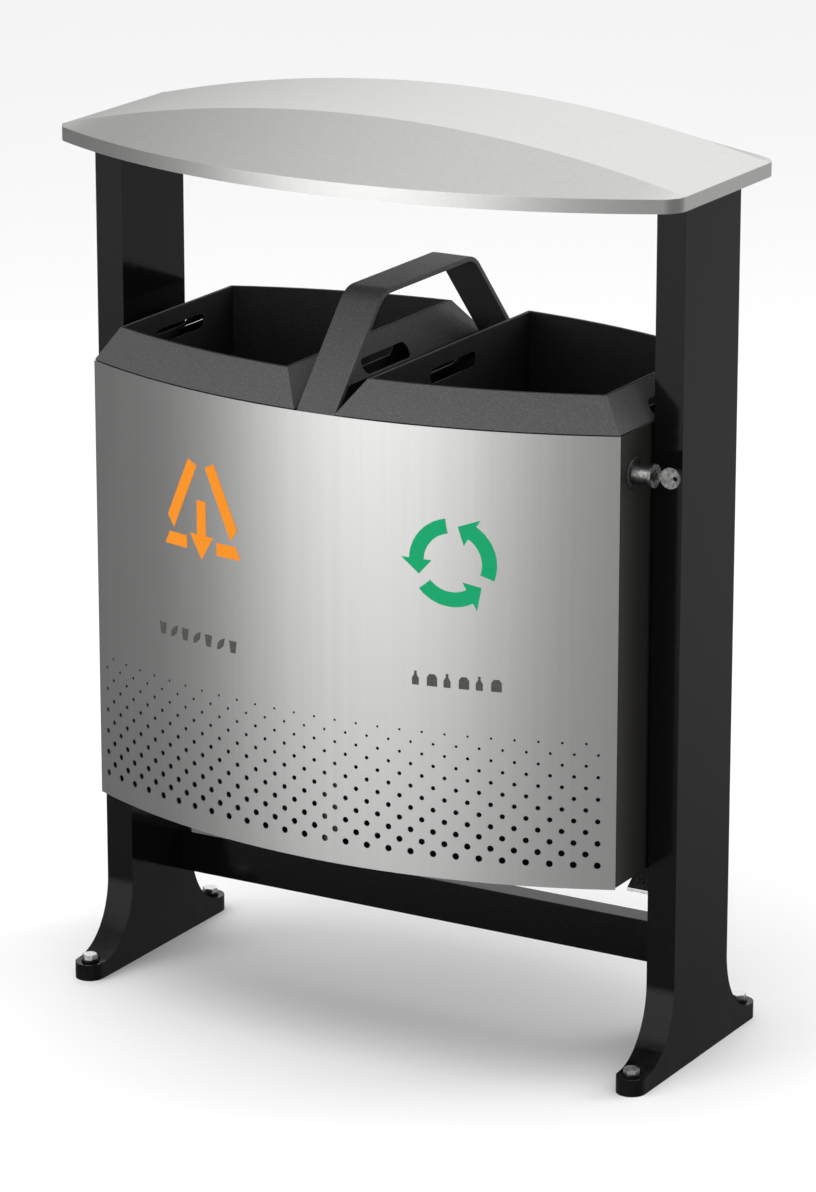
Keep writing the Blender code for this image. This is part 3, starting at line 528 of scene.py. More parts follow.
def set_on_points(tree, given, result, head):
    """Puts the head and its shank on the host's points, facing one way, each turned a little."""
    sink = calc(tree, "MULTIPLY", given["Shank Length"], -1.0)
    inside = calc(tree, "MULTIPLY", given["Head Height"], 0.3)
    shank = drum(tree, 20, given["Shank Radius"], sink, inside)
    whole = merged(tree, "UNION", head, shank)
    sockets = {"Vector": given["Facing"]}
    facing = add(tree, "FunctionNodeAlignRotationToVector", sockets, axis="Z").outputs[0]
    random_turn = add(tree, "FunctionNodeRandomValue", data_type="FLOAT")
    for label, socket in (("Max", given["Turn"]), ("Seed", given["Seed"])):
        tree.links.new(socket, next(s for s in random_turn.inputs if s.name == label and s.enabled))
    angle = next(s for s in random_turn.outputs if s.enabled)
    sockets = {"Axis": (0.0, 0.0, 1.0), "Angle": angle}
    spin = add(tree, "FunctionNodeAxisAngleToRotation", sockets).outputs[0]
    sockets = {0: facing, 1: spin}
    both = add(tree, "FunctionNodeRotateRotation", sockets, rotation_space="LOCAL").outputs[0]
    sockets = {"Points": given["Geometry"], "Instance": whole, "Rotation": both}
    spread = add(tree, "GeometryNodeInstanceOnPoints", sockets).outputs[0]
    real = add(tree, "GeometryNodeRealizeInstances", {"Geometry": spread}).outputs[0]
    finished(tree, given, result, real)


def chamfer(tree, prism, top, height):
    """Takes the corners off a prism's top with a cone that is this wide there."""
    base = calc(tree, "MULTIPLY_ADD", height, 1.9, top)
    sockets = {"Vertices": 40, "Radius Top": top, "Radius Bottom": base, "Depth": height}
    cone = add(tree, "GeometryNodeMeshCone", sockets).outputs["Mesh"]
    return merged(tree, "INTERSECT", prism, cone)


def hex_bolt_tree():
    """A hexagonal head chamfered round the top, with a washer face below, on a plain shank."""
    tree, given, result = group("hex_bolt", SHAPING, FASTENER_INPUTS, ONE_GEOMETRY)
    corner = calc(tree, "MULTIPLY", given["Head Width"], 1 / math.sqrt(3))
    skirt = calc(tree, "MULTIPLY", given["Head Height"], 0.06)
    prism = drum(tree, 6, corner, skirt, given["Head Height"])
    top = calc(tree, "MULTIPLY", given["Head Width"], 0.475)
    chamfered = chamfer(tree, prism, top, given["Head Height"])
    face_radius = calc(tree, "MULTIPLY", given["Head Width"], 0.47)
    washer_face = drum(tree, 40, face_radius, 0.0, calc(tree, "MULTIPLY", skirt, 2.0))
    set_on_points(tree, given, result, merged(tree, "UNION", chamfered, washer_face))
    return tree


def button_screw_tree():
    """A low domed head with a hexagonal socket, on a plain shank."""
    tree, given, result = group("button_screw", SHAPING, FASTENER_INPUTS, ONE_GEOMETRY)
    radius = calc(tree, "MULTIPLY", given["Head Width"], 0.5)
    sockets = {"Segments": 32, "Rings": 24, "Radius": radius}
    ball = add(tree, "GeometryNodeMeshUVSphere", sockets).outputs["Mesh"]
    flat = calc(tree, "DIVIDE", calc(tree, "MULTIPLY", given["Head Height"], 1.12), radius)
    squat = add(tree, "ShaderNodeCombineXYZ", {"X": 1.0, "Y": 1.0, "Z": flat}).outputs[0]
    limit = drum(tree, 48, calc(tree, "MULTIPLY", radius, 1.2), 0.0, given["Head Height"])
    dome = merged(tree, "INTERSECT", moved(tree, ball, scale=squat), limit)
    depth = calc(tree, "MULTIPLY", given["Head Height"], 0.35)
    above = calc(tree, "MULTIPLY", given["Head Height"], 1.5)
    socket = drum(tree, 6, calc(tree, "MULTIPLY", radius, 0.42), depth, above)
    set_on_points(tree, given, result, merged(tree, "DIFFERENCE", dome, socket))
    return tree


def cap_nut_tree():
    """A hexagonal nut closed by a dome; the stud inside it is the shank."""
    tree, given, result = group("cap_nut", SHAPING, FASTENER_INPUTS, ONE_GEOMETRY)
    corner = calc(tree, "MULTIPLY", given["Head Width"], 1 / math.sqrt(3))
    shoulder = calc(tree, "MULTIPLY", given["Head Height"], 0.55)
    prism = drum(tree, 6, corner, 0.0, shoulder)
    hexagon = chamfer(tree, prism, calc(tree, "MULTIPLY", given["Head Width"], 0.49), shoulder)
    dome_radius = calc(tree, "MULTIPLY", given["Head Width"], 0.41)
    sockets = {"Segments": 32, "Rings": 16, "Radius": dome_radius}
    ball = add(tree, "GeometryNodeMeshUVSphere", sockets).outputs["Mesh"]
    lift = calc(tree, "SUBTRACT", given["Head Height"], dome_radius)
    place = add(tree, "ShaderNodeCombineXYZ", {"Z": lift}).outputs[0]
    nut = merged(tree, "UNION", hexagon, moved(tree, ball, place=place))
    set_on_points(tree, given, result, nut)
    return tree


HEX_BOLT = hex_bolt_tree()
BUTTON_SCREW = button_screw_tree()
CAP_NUT = cap_nut_tree()


def bolt_sizes(width, height, radius, length):
    """A fastener's head width and height, then its shank's radius and length."""
    return {"Head Width": width, "Head Height": height, "Shank Radius": radius, "Shank Length": length}


def fasteners(name, tree, measures, facing, points, body, nodes):
    """One piece for every fastener of a kind that faces the same way on the same body."""
    values = measures | {"Facing": facing, "Turn": math.pi, "Seed": len(name), "Material": ZINC}
    obj = grown(name, tree, values, points)
    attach(obj, body)
    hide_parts(*nodes)


def middle(node):
    low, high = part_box(node)
    return (low + high) / 2


CORNERS = ("left_front", "left_rear", "right_front", "right_rear")
heads = []
for corner in CORNERS:
    place = middle(f"anchor_bolt_{corner}")
    heads.append((place.x, place.y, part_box(f"anchor_washer_{corner}")[1].z + 0.0003))
bolt_nodes = [f"anchor_bolt_{corner}" for corner in CORNERS]
M10_ANCHOR = bolt_sizes(0.016, 0.0064, 0.0050, 0.0220)
fasteners("anchor_bolts", HEX_BOLT, M10_ANCHOR, (0, 0, 1), heads, "frame", bolt_nodes)


def lathe(bm, profile, place, turn, steps=48):
    """Turns a closed profile of (radius, height) points about Z, then sets it in place."""
    made = [bm.verts.new((radius, 0.0, height)) for radius, height in profile]
    edges = [bm.edges.new(pair) for pair in zip(made, made[1:] + made[:1])]
    before = set(bm.verts) - set(made)
    bmesh.ops.spin(bm, geom=made + edges, axis=(0, 0, 1), cent=(0, 0, 0), steps=steps, angle=math.tau)
    fresh = [v for v in bm.verts if v not in before]
    bmesh.ops.remove_doubles(bm, verts=fresh, dist=0.000005)
    fresh = [v for v in bm.verts if v not in before]
    bmesh.ops.transform(bm, matrix=Matrix.Translation(place) @ turn, verts=fresh)
    bmesh.ops.recalc_face_normals(bm, faces=bm.faces)


UPRIGHT = Matrix.Identity(4)
TO_PLUS_X = Matrix.Rotation(math.pi / 2, 4, "Y")

washers = bmesh.new()
for corner in CORNERS:
    low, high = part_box(f"anchor_washer_{corner}")
    centre = middle(f"anchor_washer_{corner}")
    thick = high.z - low.z
    profile = [
        (0.0055, thick), (0.0098, thick), (0.0103, thick - 0.0002), (0.0105, thick - 0.0006),
        (0.0105, 0.0003), (0.0102, 0.0), (0.0055, 0.0),
    ]
    lathe(washers, profile, (centre.x, centre.y, low.z), UPRIGHT)
washer_nodes = [f"anchor_washer_{corner}" for corner in CORNERS]
piece("anchor_washers", washers, GLOSS_PAINT, "frame", "post_paint", *washer_nodes)


# Roof: one stainless sheet pressed into a barrel vault with two facets and a turned-down fascia,
# closed below by a flat liner with a channel inside it.

ROOF_HALF = 0.3966
ROOF_FOLD = 0.101
FASCIA_LOW = 1.004
FASCIA_HIGH = 1.020
ROOF_APEX = 0.2262
ROOF_RISE = 0.0485
ROOF_CORNER = 0.014
PLAN_RADIUS = 0.770
SHEET = 0.0015


def plan_y(x, apex):
    """Half depth at x of the shared plan curve."""
    return apex - PLAN_RADIUS + math.sqrt(PLAN_RADIUS**2 - x**2)


def roof_edge(x):
    """Half depth of the roof at x, with its corners rounded."""
    edge = plan_y(x, ROOF_APEX)
    share = min(max((abs(x) - ROOF_HALF + ROOF_CORNER) / ROOF_CORNER, 0.0), 1.0)
    return edge if share == 0 else ROOF_FOLD + (edge - ROOF_FOLD) * math.sqrt(1.0 - share**2)


def roof_crest(x):
    """Height of the vault at x."""
    radius = (ROOF_HALF**2 + ROOF_RISE**2) / (2 * ROOF_RISE)
    return FASCIA_HIGH + ROOF_RISE - radius + math.sqrt(radius**2 - x**2)


def satin_roof_steel():
    """Brushed stainless with a fine sparkle; the brush lines run from front to back."""
    made, tree, shader = new_material("satin_roof_steel", (0.66, 0.66, 0.65), 0.38, 1.0)
    here = add(tree, "ShaderNodeTexCoord").outputs["Object"]
    sockets = {"Vector": here, "Angle": math.pi / 2}
    turned = add(tree, "ShaderNodeVectorRotate", sockets, rotation_type="X_AXIS")
    lines = add(tree, "ShaderNodeGroup", node_tree=BRUSH_LINES)
    tree.links.new(turned.outputs[0], lines.inputs["Vector"])
    lines.inputs["Across"].default_value = 900.0
    lines.inputs["Along"].default_value = 260.0
    tint(tree, lines.outputs["Streak"], (0.62, 0.62, 0.61), (0.70, 0.70, 0.69), shader)
    roughen(tree, lines.outputs["Scratch"], 0.3, 0.7, 0.34, 0.46, shader)
    bump(tree, lines.outputs["Scratch"], 0.05, 0.0002, shader)
    return made


ROOF_STEEL = satin_roof_steel()


def roof_sheet():
    """Six rows of points from the front fascia over the two folds to the rear fascia."""
    straight = ROOF_HALF - ROOF_CORNER
    corner = [straight + ROOF_CORNER * math.sin(math.pi / 2 * i / 8) for i in range(1, 9)]
    stations = [-x for x in reversed(corner)] + [straight * i / 36 for i in range(-36, 37)] + corner
    bm = bmesh.new()
    rows = []
    for row in range(6):
        facing = -1 if row < 3 else 1
        points = []
        for x in stations:
            depth = ROOF_FOLD if row in (2, 3) else roof_edge(x)
            height = {0: FASCIA_LOW, 5: FASCIA_LOW, 1: FASCIA_HIGH, 4: FASCIA_HIGH}.get(row, roof_crest(x))
            points.append(bm.verts.new((x, facing * depth, height)))
        rows.append(points)
    for lower, upper in zip(rows, rows[1:]):
        for i in range(len(stations) - 1):
            bm.faces.new((lower[i], lower[i + 1], upper[i + 1], upper[i]))
    bmesh.ops.remove_doubles(bm, verts=bm.verts, dist=0.00002)
    for side in (-1, 1):
        ends = [v for v in bm.verts if abs(v.co.x - side * ROOF_HALF) < 0.00005]
        ends.sort(key=lambda v: math.atan2(v.co.z - (FASCIA_LOW + FASCIA_HIGH) / 2, side * v.co.y))
        bm.faces.new(ends)
    bmesh.ops.recalc_face_normals(bm, faces=bm.faces)
    bevel = bm.edges.layers.float.new("bevel_weight_edge")
    for edge in bm.edges:
        if edge.is_manifold:
            edge[bevel] = min(1.0, max(0.0, (math.degrees(edge.calc_face_angle()) - 3.0) / 30.0))
    mesh = bpy.data.meshes.new("roof_shell_pressed")
    bm.to_mesh(mesh)
    bm.free()
    mesh.materials.append(ROOF_STEEL)
    obj = bpy.data.objects.new("roof_shell_pressed", mesh)
    scene.collection.objects.link(obj)
    folds = obj.modifiers.new("pressed_folds", "BEVEL")
    folds.limit_method = "WEIGHT"
    folds.width = 0.0022
    folds.segments = 3
    thickness = obj.modifiers.new("sheet", "SOLIDIFY")
    thickness.thickness = SHEET
    thickness.offset = -1.0
    settled(obj, 16.0)
    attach(obj, "frame")
    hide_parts("roof_shell")


roof_sheet()
liner = merged_copy("roof_liner_panel")
piece("roof_liner_flat", liner, ROOF_STEEL, "frame", "roof_steel", "roof_liner_panel", bevel=0.0003)
channel = merged_copy("roof_stiffener")
piece("roof_stiffener_channel", channel, ROOF_STEEL, "frame", "roof_steel", "roof_stiffener", bevel=0.0004)


# Roof spigots and tilt stops: short tube and folded plate, zinc plated. The spigots slide into
# the open post tops and are held by one screw each at the back.

for side in ("left", "right"):
    node = f"roof_spigot_{side}"
    piece(f"{node}_tube", merged_copy(node), ZINC, "frame", "zinc_plate", node, bevel=0.0006)
    node = f"tilt_stop_{side}"
    piece(f"{node}_bent", merged_copy(node), ZINC, "frame", "zinc_plate", node, bevel=0.0005)

POST_BACK = 0.0662
STOP_FACE = 0.3407
ROOF_SCREW = bolt_sizes(0.011, 0.0032, 0.003, 0.012)
STOP_SCREW = bolt_sizes(0.009, 0.0028, 0.0025, 0.010)
nodes = ["roof_screw_left", "roof_screw_right"]
heads = [(middle(node).x, POST_BACK, middle(node).z) for node in nodes]
fasteners("roof_screws", BUTTON_SCREW, ROOF_SCREW, (0, 1, 0), heads, "frame", nodes)
for side, facing in (("left", 1), ("right", -1)):
    nodes = [f"stop_screw_{side}_front", f"stop_screw_{side}_rear"]
    heads = [(-facing * STOP_FACE, middle(node).y, middle(node).z) for node in nodes]
    fasteners(f"stop_screws_{side}", BUTTON_SCREW, STOP_SCREW, (facing, 0, 0), heads, "frame", nodes)


# Pivots: a shoulder bolt from inside the housing runs through a turned nylon bush into a nut in
# the post, so the housing tips forward between the posts.

PIVOT_Y = -0.030
PIVOT_Z = 0.272
PIVOT_SEAT = 0.3312
PIVOT_BOLT = bolt_sizes(0.018, 0.007, 0.006, 0.0265)
for side, facing in (("left", 1), ("right", -1)):
    heads = [(-facing * PIVOT_SEAT, PIVOT_Y, PIVOT_Z)]
    nodes = [f"pivot_bolt_{side}"]
    fasteners(f"pivot_bolt_{side}_hex", HEX_BOLT, PIVOT_BOLT, (facing, 0, 0), heads, "frame", nodes)
    nut = merged_copy(f"pivot_nut_{side}")
    piece(f"pivot_nut_{side}_hex", nut, ZINC, "frame", "zinc_plate", f"pivot_nut_{side}", bevel=0.0004)
    bush = bmesh.new()
    profile = [
        (0.0063, 0.3440), (0.0106, 0.3440), (0.0110, 0.3436), (0.0110, 0.3399), (0.0107, 0.3396),
        (0.0080, 0.3396), (0.0080, 0.3321), (0.0077, 0.3318), (0.0063, 0.3318),
    ]
    turn = Matrix.Rotation(-facing * math.pi / 2, 4, "Y")
    lathe(bush, profile, (0.0, PIVOT_Y, PIVOT_Z), turn)
    piece(f"pivot_bush_{side}_turned", bush, NYLON, "housing", "nylon", f"pivot_bush_{side}")


# Panels: two brushed stainless sheets bent to the shared plan curve. Twelve staggered rows of
# punched holes shrink upward from the lower edge; one node tree punches the flat blank, then bends it.

PANEL_APEX = 0.2145
PANEL_HALF = 0.3396
PANEL_LOW = 0.236
PANEL_HIGH = 0.7558


def brushed_stainless():
    """Stainless sheet with vertical brush lines, which stretch each highlight sideways."""
    base = (0.60, 0.60, 0.59)
    made, tree, shader = new_material("brushed_stainless", base, 0.30, 1.0, Anisotropic=0.45)
    lines = place_group(tree, BRUSH_LINES, Along=3.0, Across=620.0)
    tint(tree, lines.outputs["Streak"], (0.57, 0.57, 0.565), (0.63, 0.63, 0.62), shader)
    roughen(tree, lines.outputs["Scratch"], 0.3, 0.7, 0.29, 0.35, shader)
    bump(tree, lines.outputs["Scratch"], 0.04, 0.0002, shader)
    around = add(tree, "ShaderNodeTangent", direction_type="RADIAL", axis="Z")
    tree.links.new(around.outputs[0], shader.inputs["Tangent"])
    return made


def punched_panel_tree():
    """A flat blank, punched on a staggered grid, then bent about Z and turned to its side."""
    tree, given, result = group(
        "punched_panel",
        SHAPING,
        [
            ("Geometry", GEOMETRY, None),
            ("Radius", FLOAT, PLAN_RADIUS),
            ("Apex", FLOAT, PANEL_APEX),
            ("Half Length", FLOAT, 0.35),
            ("Bottom", FLOAT, PANEL_LOW),
            ("Top", FLOAT, PANEL_HIGH),
            ("Sheet", FLOAT, SHEET),
            ("Columns", INTEGER, 97),
            ("Courses", INTEGER, 41),
            ("Rows", INTEGER, 12),
            ("Holes", INTEGER, 26),
            ("First Hole", FLOAT, -0.3345),
            ("Pitch", FLOAT, 0.026636),
            ("Lowest Row", FLOAT, 0.264),
            ("Row Step", FLOAT, 0.01287),
            ("Largest", FLOAT, 0.0039),
            ("Smallest", FLOAT, 0.0014),
            ("Turn", FLOAT, 0.0),
            ("Material", MATERIAL, None),
        ],
        ONE_GEOMETRY,
    )
    tall = calc(tree, "SUBTRACT", given["Top"], given["Bottom"])
    across = calc(tree, "MULTIPLY", given["Half Length"], 2.0)
    size = add(tree, "ShaderNodeCombineXYZ", {0: across, 1: given["Sheet"], 2: tall}).outputs[0]
    counts = {"Vertices X": given["Columns"], "Vertices Y": 2, "Vertices Z": given["Courses"]}
    cube = add(tree, "GeometryNodeMeshCube", {"Size": size} | counts).outputs["Mesh"]
    mid_height = calc(tree, "MULTIPLY", calc(tree, "ADD", given["Top"], given["Bottom"]), 0.5)
    half_sheet = calc(tree, "MULTIPLY", given["Sheet"], 0.5)
    place = add(tree, "ShaderNodeCombineXYZ", {1: half_sheet, 2: mid_height}).outputs[0]
    blank = moved(tree, cube, place=place)

    row_count = calc(tree, "SUBTRACT", given["Rows"], 1.0)
    span = calc(tree, "MULTIPLY", calc(tree, "SUBTRACT", given["Holes"], 1.0), given["Pitch"])
    rise = calc(tree, "MULTIPLY", row_count, given["Row Step"])
    counts = {"Vertices X": given["Holes"], "Vertices Y": given["Rows"]}
    grid = add(tree, "GeometryNodeMeshGrid", {"Size X": span, "Size Y": rise} | counts).outputs["Mesh"]
    along = calc(tree, "MULTIPLY_ADD", span, 0.5, given["First Hole"])
    up = calc(tree, "MULTIPLY_ADD", rise, 0.5, given["Lowest Row"])
    centre = add(tree, "ShaderNodeCombineXYZ", {0: along, 2: up}).outputs[0]
    laid = moved(tree, grid, place=centre, turn=(math.pi / 2, 0.0, 0.0))
    where = add(tree, "ShaderNodeSeparateXYZ", {0: add(tree, "GeometryNodeInputPosition").outputs[0]})
    over_first = calc(tree, "SUBTRACT", where.outputs["Z"], given["Lowest Row"])
    row = calc(tree, "DIVIDE", over_first, given["Row Step"])
    odd = calc(tree, "MODULO", calc(tree, "ROUND", row), 2.0)
    step = calc(tree, "MULTIPLY", calc(tree, "MULTIPLY", odd, given["Pitch"]), 0.5)
    sockets = {"Geometry": laid, "Offset": add(tree, "ShaderNodeCombineXYZ", {0: step}).outputs[0]}
    staggered = add(tree, "GeometryNodeSetPosition", sockets).outputs[0]
    last = calc(tree, "ADD", given["First Hole"], calc(tree, "MULTIPLY_ADD", given["Pitch"], 0.25, span))
    beyond = calc(tree, "GREATER_THAN", where.outputs["X"], last)
    sockets = {"Geometry": staggered, "Selection": beyond}
    kept = add(tree, "GeometryNodeDeleteGeometry", sockets, domain="POINT").outputs[0]
    share = calc(tree, "DIVIDE", row, row_count)
    less = calc(tree, "SUBTRACT", given["Smallest"], given["Largest"])
    radius = calc(tree, "MULTIPLY_ADD", share, less, given["Largest"])
    sockets = {"Vertices": 20, "Radius": 1.0, "Depth": 0.01}
    punch = add(tree, "GeometryNodeMeshCylinder", sockets).outputs["Mesh"]
    scale = add(tree, "ShaderNodeCombineXYZ", {0: radius, 1: radius, 2: 1.0}).outputs[0]
    sockets = {"Points": kept, "Instance": punch, "Rotation": (math.pi / 2, 0.0, 0.0), "Scale": scale}
    punches = add(tree, "GeometryNodeInstanceOnPoints", sockets).outputs[0]
    real = add(tree, "GeometryNodeRealizeInstances", {"Geometry": punches}).outputs[0]
    punched = merged(tree, "DIFFERENCE", blank, real)

    angle = calc(tree, "DIVIDE", where.outputs["X"], given["Radius"])
    inner = calc(tree, "SUBTRACT", given["Radius"], where.outputs["Y"])
    bent_x = calc(tree, "MULTIPLY", inner, calc(tree, "SINE", angle))
    centre_y = calc(tree, "SUBTRACT", given["Radius"], given["Apex"])
    forward = calc(tree, "MULTIPLY", inner, calc(tree, "COSINE", angle))
    bent_y = calc(tree, "SUBTRACT", centre_y, forward)
    place = add(tree, "ShaderNodeCombineXYZ", {0: bent_x, 1: bent_y, 2: where.outputs["Z"]}).outputs[0]
    bent = add(tree, "GeometryNodeSetPosition", {"Geometry": punched, "Position": place}).outputs[0]
    about = add(tree, "ShaderNodeCombineXYZ", {2: given["Turn"]}).outputs[0]
    faced = moved(tree, bent, turn=about)
    finished(tree, given, result, faced)
    return tree


def shade_as_bent(mesh, centre_y):
    """Shades both faces of a bent sheet by the true curve, so that its holes don't disturb it."""
    normals = [Vector(corner.vector) for corner in mesh.corner_normals]
    for polygon in mesh.polygons:
        for loop in polygon.loop_indices:
            place = mesh.vertices[mesh.loops[loop].vertex_index].co
            radial = Vector((place.x, place.y - centre_y, 0.0)).normalized()
            if abs(polygon.normal.dot(radial)) > 0.99:
                normals[loop] = radial if polygon.normal.dot(radial) > 0 else -radial
    mesh.normals_split_custom_set(normals)


BRUSHED = brushed_stainless()
PUNCHED_PANEL = punched_panel_tree()
half_length = PLAN_RADIUS * math.asin(PANEL_HALF / PLAN_RADIUS)
for facing, turn in (("front", 0.0), ("back", math.pi)):
    values = {"Half Length": half_length, "Turn": turn, "Material": BRUSHED}
    panel = grown(f"{facing}_panel_punched", PUNCHED_PANEL, values)
    shade_as_bent(panel.data, (PLAN_RADIUS - PANEL_APEX) * math.cos(turn))
    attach(panel, "housing")
    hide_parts(f"{facing}_panel")


# Housing's inside: folded side walls, the tray under the bins and the channel between them, all
# sprayed satin near-black. The walls' flanges carry the panels.

for node in ("left_side_wall", "right_side_wall", "floor_tray", "centre_divider"):
    piece(f"{node}_sprayed", merged_copy(node), SIDE_PAINT, "housing", "side_paint", node, bevel=0.0003)


# Sorting signs: thin printed films on the front panel, one for each bin, with a row of small
# dark icons below each. The shapes are plain generic ones, with no lettering.

FILM = 0.00025
FILM_GAP = 0.00002


def film_material(name, colour, darker):
    """Printed film in one colour, laid a little unevenly."""
    made, tree, shader = new_material(name, colour, 0.42, 0.0, Specular_IOR_Level=0.15)
    cloud = mottle(tree, 260.0, 4.0)
    tint(tree, ramp(tree, cloud, 0.35, 0.7), colour, darker, shader)
    roughen(tree, cloud, 0.3, 0.7, 0.36, 0.5, shader)
    bump(tree, cloud, 0.08, 0.0001, shader)
    return made


def film(name, outlines, material):
    """Flat outlines of (arc length, height) cut from film and laid on the bent front panel."""
    bm = bmesh.new()
    for outline in outlines:
        bm.faces.new([bm.verts.new((s, 0.0, z)) for s, z in outline])
    low = min(v.co.x for v in bm.verts)
    high = max(v.co.x for v in bm.verts)
    for i in range(1, int((high - low) / 0.004)):
        cut_at = low + 0.004 * i
        parts = bm.verts[:] + bm.edges[:] + bm.faces[:]
        across = {"plane_co": (cut_at, 0, 0), "plane_no": (1, 0, 0), "dist": 0.000001}
        bmesh.ops.bisect_plane(bm, geom=parts, **across)
    bmesh.ops.recalc_face_normals(bm, faces=bm.faces)
    for face in bm.faces:
        if face.normal.y > 0:
            face.normal_flip()
    thick = bmesh.ops.extrude_face_region(bm, geom=bm.faces[:])["geom"]
    for vert in [v for v in thick if isinstance(v, bmesh.types.BMVert)]:
        vert.co.y -= FILM
    bmesh.ops.recalc_face_normals(bm, faces=bm.faces)
    centre_y = PLAN_RADIUS - PANEL_APEX
    for vert in bm.verts:
        angle = vert.co.x / PLAN_RADIUS
        reach = PLAN_RADIUS - vert.co.y + FILM_GAP
        vert.co.x = reach * math.sin(angle)
        vert.co.y = centre_y - reach * math.cos(angle)
    piece(name, bm, material, "housing", None)


def bar(a, b, width, cut_a=0.0, cut_b=0.0):
    """A straight stroke from a to b, its ends slanted by the given shifts."""
    a, b = Vector(a), Vector(b)
    along = (b - a).normalized()
    side = Vector((-along.y, along.x)) * width / 2
    first, last = along * cut_a, along * cut_b
    return [tuple(p) for p in (a - side - first, b - side + last, b + side - last, a + side + first)]


def arc_arrow(centre, radius, width, start, end, head):
    """A curved stroke that ends in an arrow head; angles in degrees, anticlockwise."""

    def at(reach, degrees):
        angle = math.radians(degrees)
        return (centre[0] + reach * math.cos(angle), centre[1] + reach * math.sin(angle))

    angles = [start + (end - start) * i / 10 for i in range(11)]
    outer = [at(radius + width / 2, degrees) for degrees in angles]
    inner = [at(radius - width / 2, degrees) for degrees in angles]
    barbs = [at(radius + width * 1.05, end), at(radius, end + head), at(radius - width * 1.05, end)]
    return outer + barbs + inner[::-1]


ORANGE = film_material("orange_film", (0.79, 0.245, 0.008), (0.74, 0.225, 0.007))
GREEN = film_material("green_film", (0.002, 0.33, 0.128), (0.002, 0.30, 0.115))
DARK_INK = film_material("dark_ink", (0.055, 0.055, 0.052), (0.085, 0.085, 0.080))

s0, z0 = -0.159, 0.6175
half = 0.007
low, high = z0 - 0.028, z0 + 0.012
shaft = [(s0 - half, low), (s0 - half, high), (s0 + half, high), (s0 + half, low)]
film(
    "sign_left",
    [
        bar((s0 - 0.049, z0 - 0.020), (s0 - 0.013, z0 + 0.055), 0.015, 0.004, 0.0),
        bar((s0 + 0.013, z0 + 0.055), (s0 + 0.049, z0 - 0.020), 0.015, 0.0, 0.004),
        bar((s0 - 0.055, z0 - 0.040), (s0 - 0.023, z0 - 0.040), 0.015, 0.004, 0.0),
        bar((s0 + 0.023, z0 - 0.040), (s0 + 0.055, z0 - 0.040), 0.015, 0.0, 0.004),
        shaft + [(s0 + 0.018, low), (s0, z0 - 0.057), (s0 - 0.018, low)],
    ],
    ORANGE,
)
arrows = [arc_arrow((0.167, 0.604), 0.042, 0.017, start, start + 78, 24) for start in (100, 220, 340)]
film("sign_right", arrows, GREEN)

BOX = ((0, 0), (12, 0), (12, 10), (9, 14), (3, 14), (0, 10))
BOTTLE = ((1, 0), (9, 0), (9, 8), (8, 9), (6.5, 12), (6.5, 16), (3.5, 16), (3.5, 12), (1, 8))
CUP = ((2, 0), (9, 0), (11, 14), (0, 14))
LEAF = ((0, 0), (5, 1), (10, 6), (12, 15), (5, 12), (1, 7))


def icon_row(name, first, height, icons):
    """A row of icons, their outlines in millimetres, one every 18.5 mm along the panel."""
    outlines = []
    for i, icon in enumerate(icons):
        left = first + 0.0185 * i
        outlines.append([(left + s / 1000, height + z / 1000) for s, z in icon])
    film(name, outlines, DARK_INK)


icon_row("icons_left", -0.2295, 0.4600, (CUP, LEAF, CUP, LEAF, CUP, LEAF, CUP))
icon_row("icons_right", 0.1190, 0.4600, (BOTTLE, BOX, BOTTLE, BOX, BOTTLE, BOX))


# Strap handle: flat bar bent over the gap between the bins and powder coated, its tails bolted
# inside the two panels with capped nuts. It lifts nothing; it is the pull for tilting the housing.

STRAP_WIDTH = 0.049
STRAP_THICKNESS = 0.006
STRAP_TAIL_Y = 0.2122
STRAP_LOW = 0.6938
STRAP_KNEE = 0.7538
STRAP_KNEE_BEND = 0.014
STRAP_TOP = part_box("strap_handle")[1].z
STRAP_TOP_HALF = 0.104
STRAP_BEND = 0.038
CAP_NUT_M8 = bolt_sizes(0.013, 0.0075, 0.004, 0.004)


def bent_line(corners, radii, steps):
    """The line through the corners, each but the first and the last rounded by its radius."""
    line = [corners[0]]
    for before, corner, after, radius in zip(corners, corners[1:], corners[2:], radii):
        into = (before - corner).normalized()
        out = (after - corner).normalized()
        half_angle = into.angle(out) / 2
        centre = corner + (into + out).normalized() * radius / math.sin(half_angle)
        start = corner + into * radius / math.tan(half_angle) - centre
        end = corner + out * radius / math.tan(half_angle) - centre
        turn = math.atan2(start.x * end.y - start.y * end.x, start.dot(end))
        line += [centre + Matrix.Rotation(turn * i / steps, 2) @ start for i in range(steps + 1)]
    return line + [corners[-1]]


def bent_strap():
    """The flat bar as a bmesh: its outer line swept across its width, then given its thickness."""
    rear = [(STRAP_TAIL_Y, STRAP_LOW), (STRAP_TAIL_Y, STRAP_KNEE), (STRAP_TOP_HALF, STRAP_TOP)]
    corners = [Vector(corner) for corner in rear + [(-y, z) for y, z in rear[::-1]]]
    line = bent_line(corners, (STRAP_KNEE_BEND, STRAP_BEND, STRAP_BEND, STRAP_KNEE_BEND), 12)
    bm = bmesh.new()
    left = [bm.verts.new((-STRAP_WIDTH / 2, *point)) for point in line]
    right = [bm.verts.new((STRAP_WIDTH / 2, *point)) for point in line]
    for i in range(len(line) - 1):
        bm.faces.new((left[i], right[i], right[i + 1], left[i + 1]))
    bmesh.ops.recalc_face_normals(bm, faces=bm.faces)
    bmesh.ops.solidify(bm, geom=bm.faces[:], thickness=STRAP_THICKNESS)
    bmesh.ops.recalc_face_normals(bm, faces=bm.faces)
    return bm


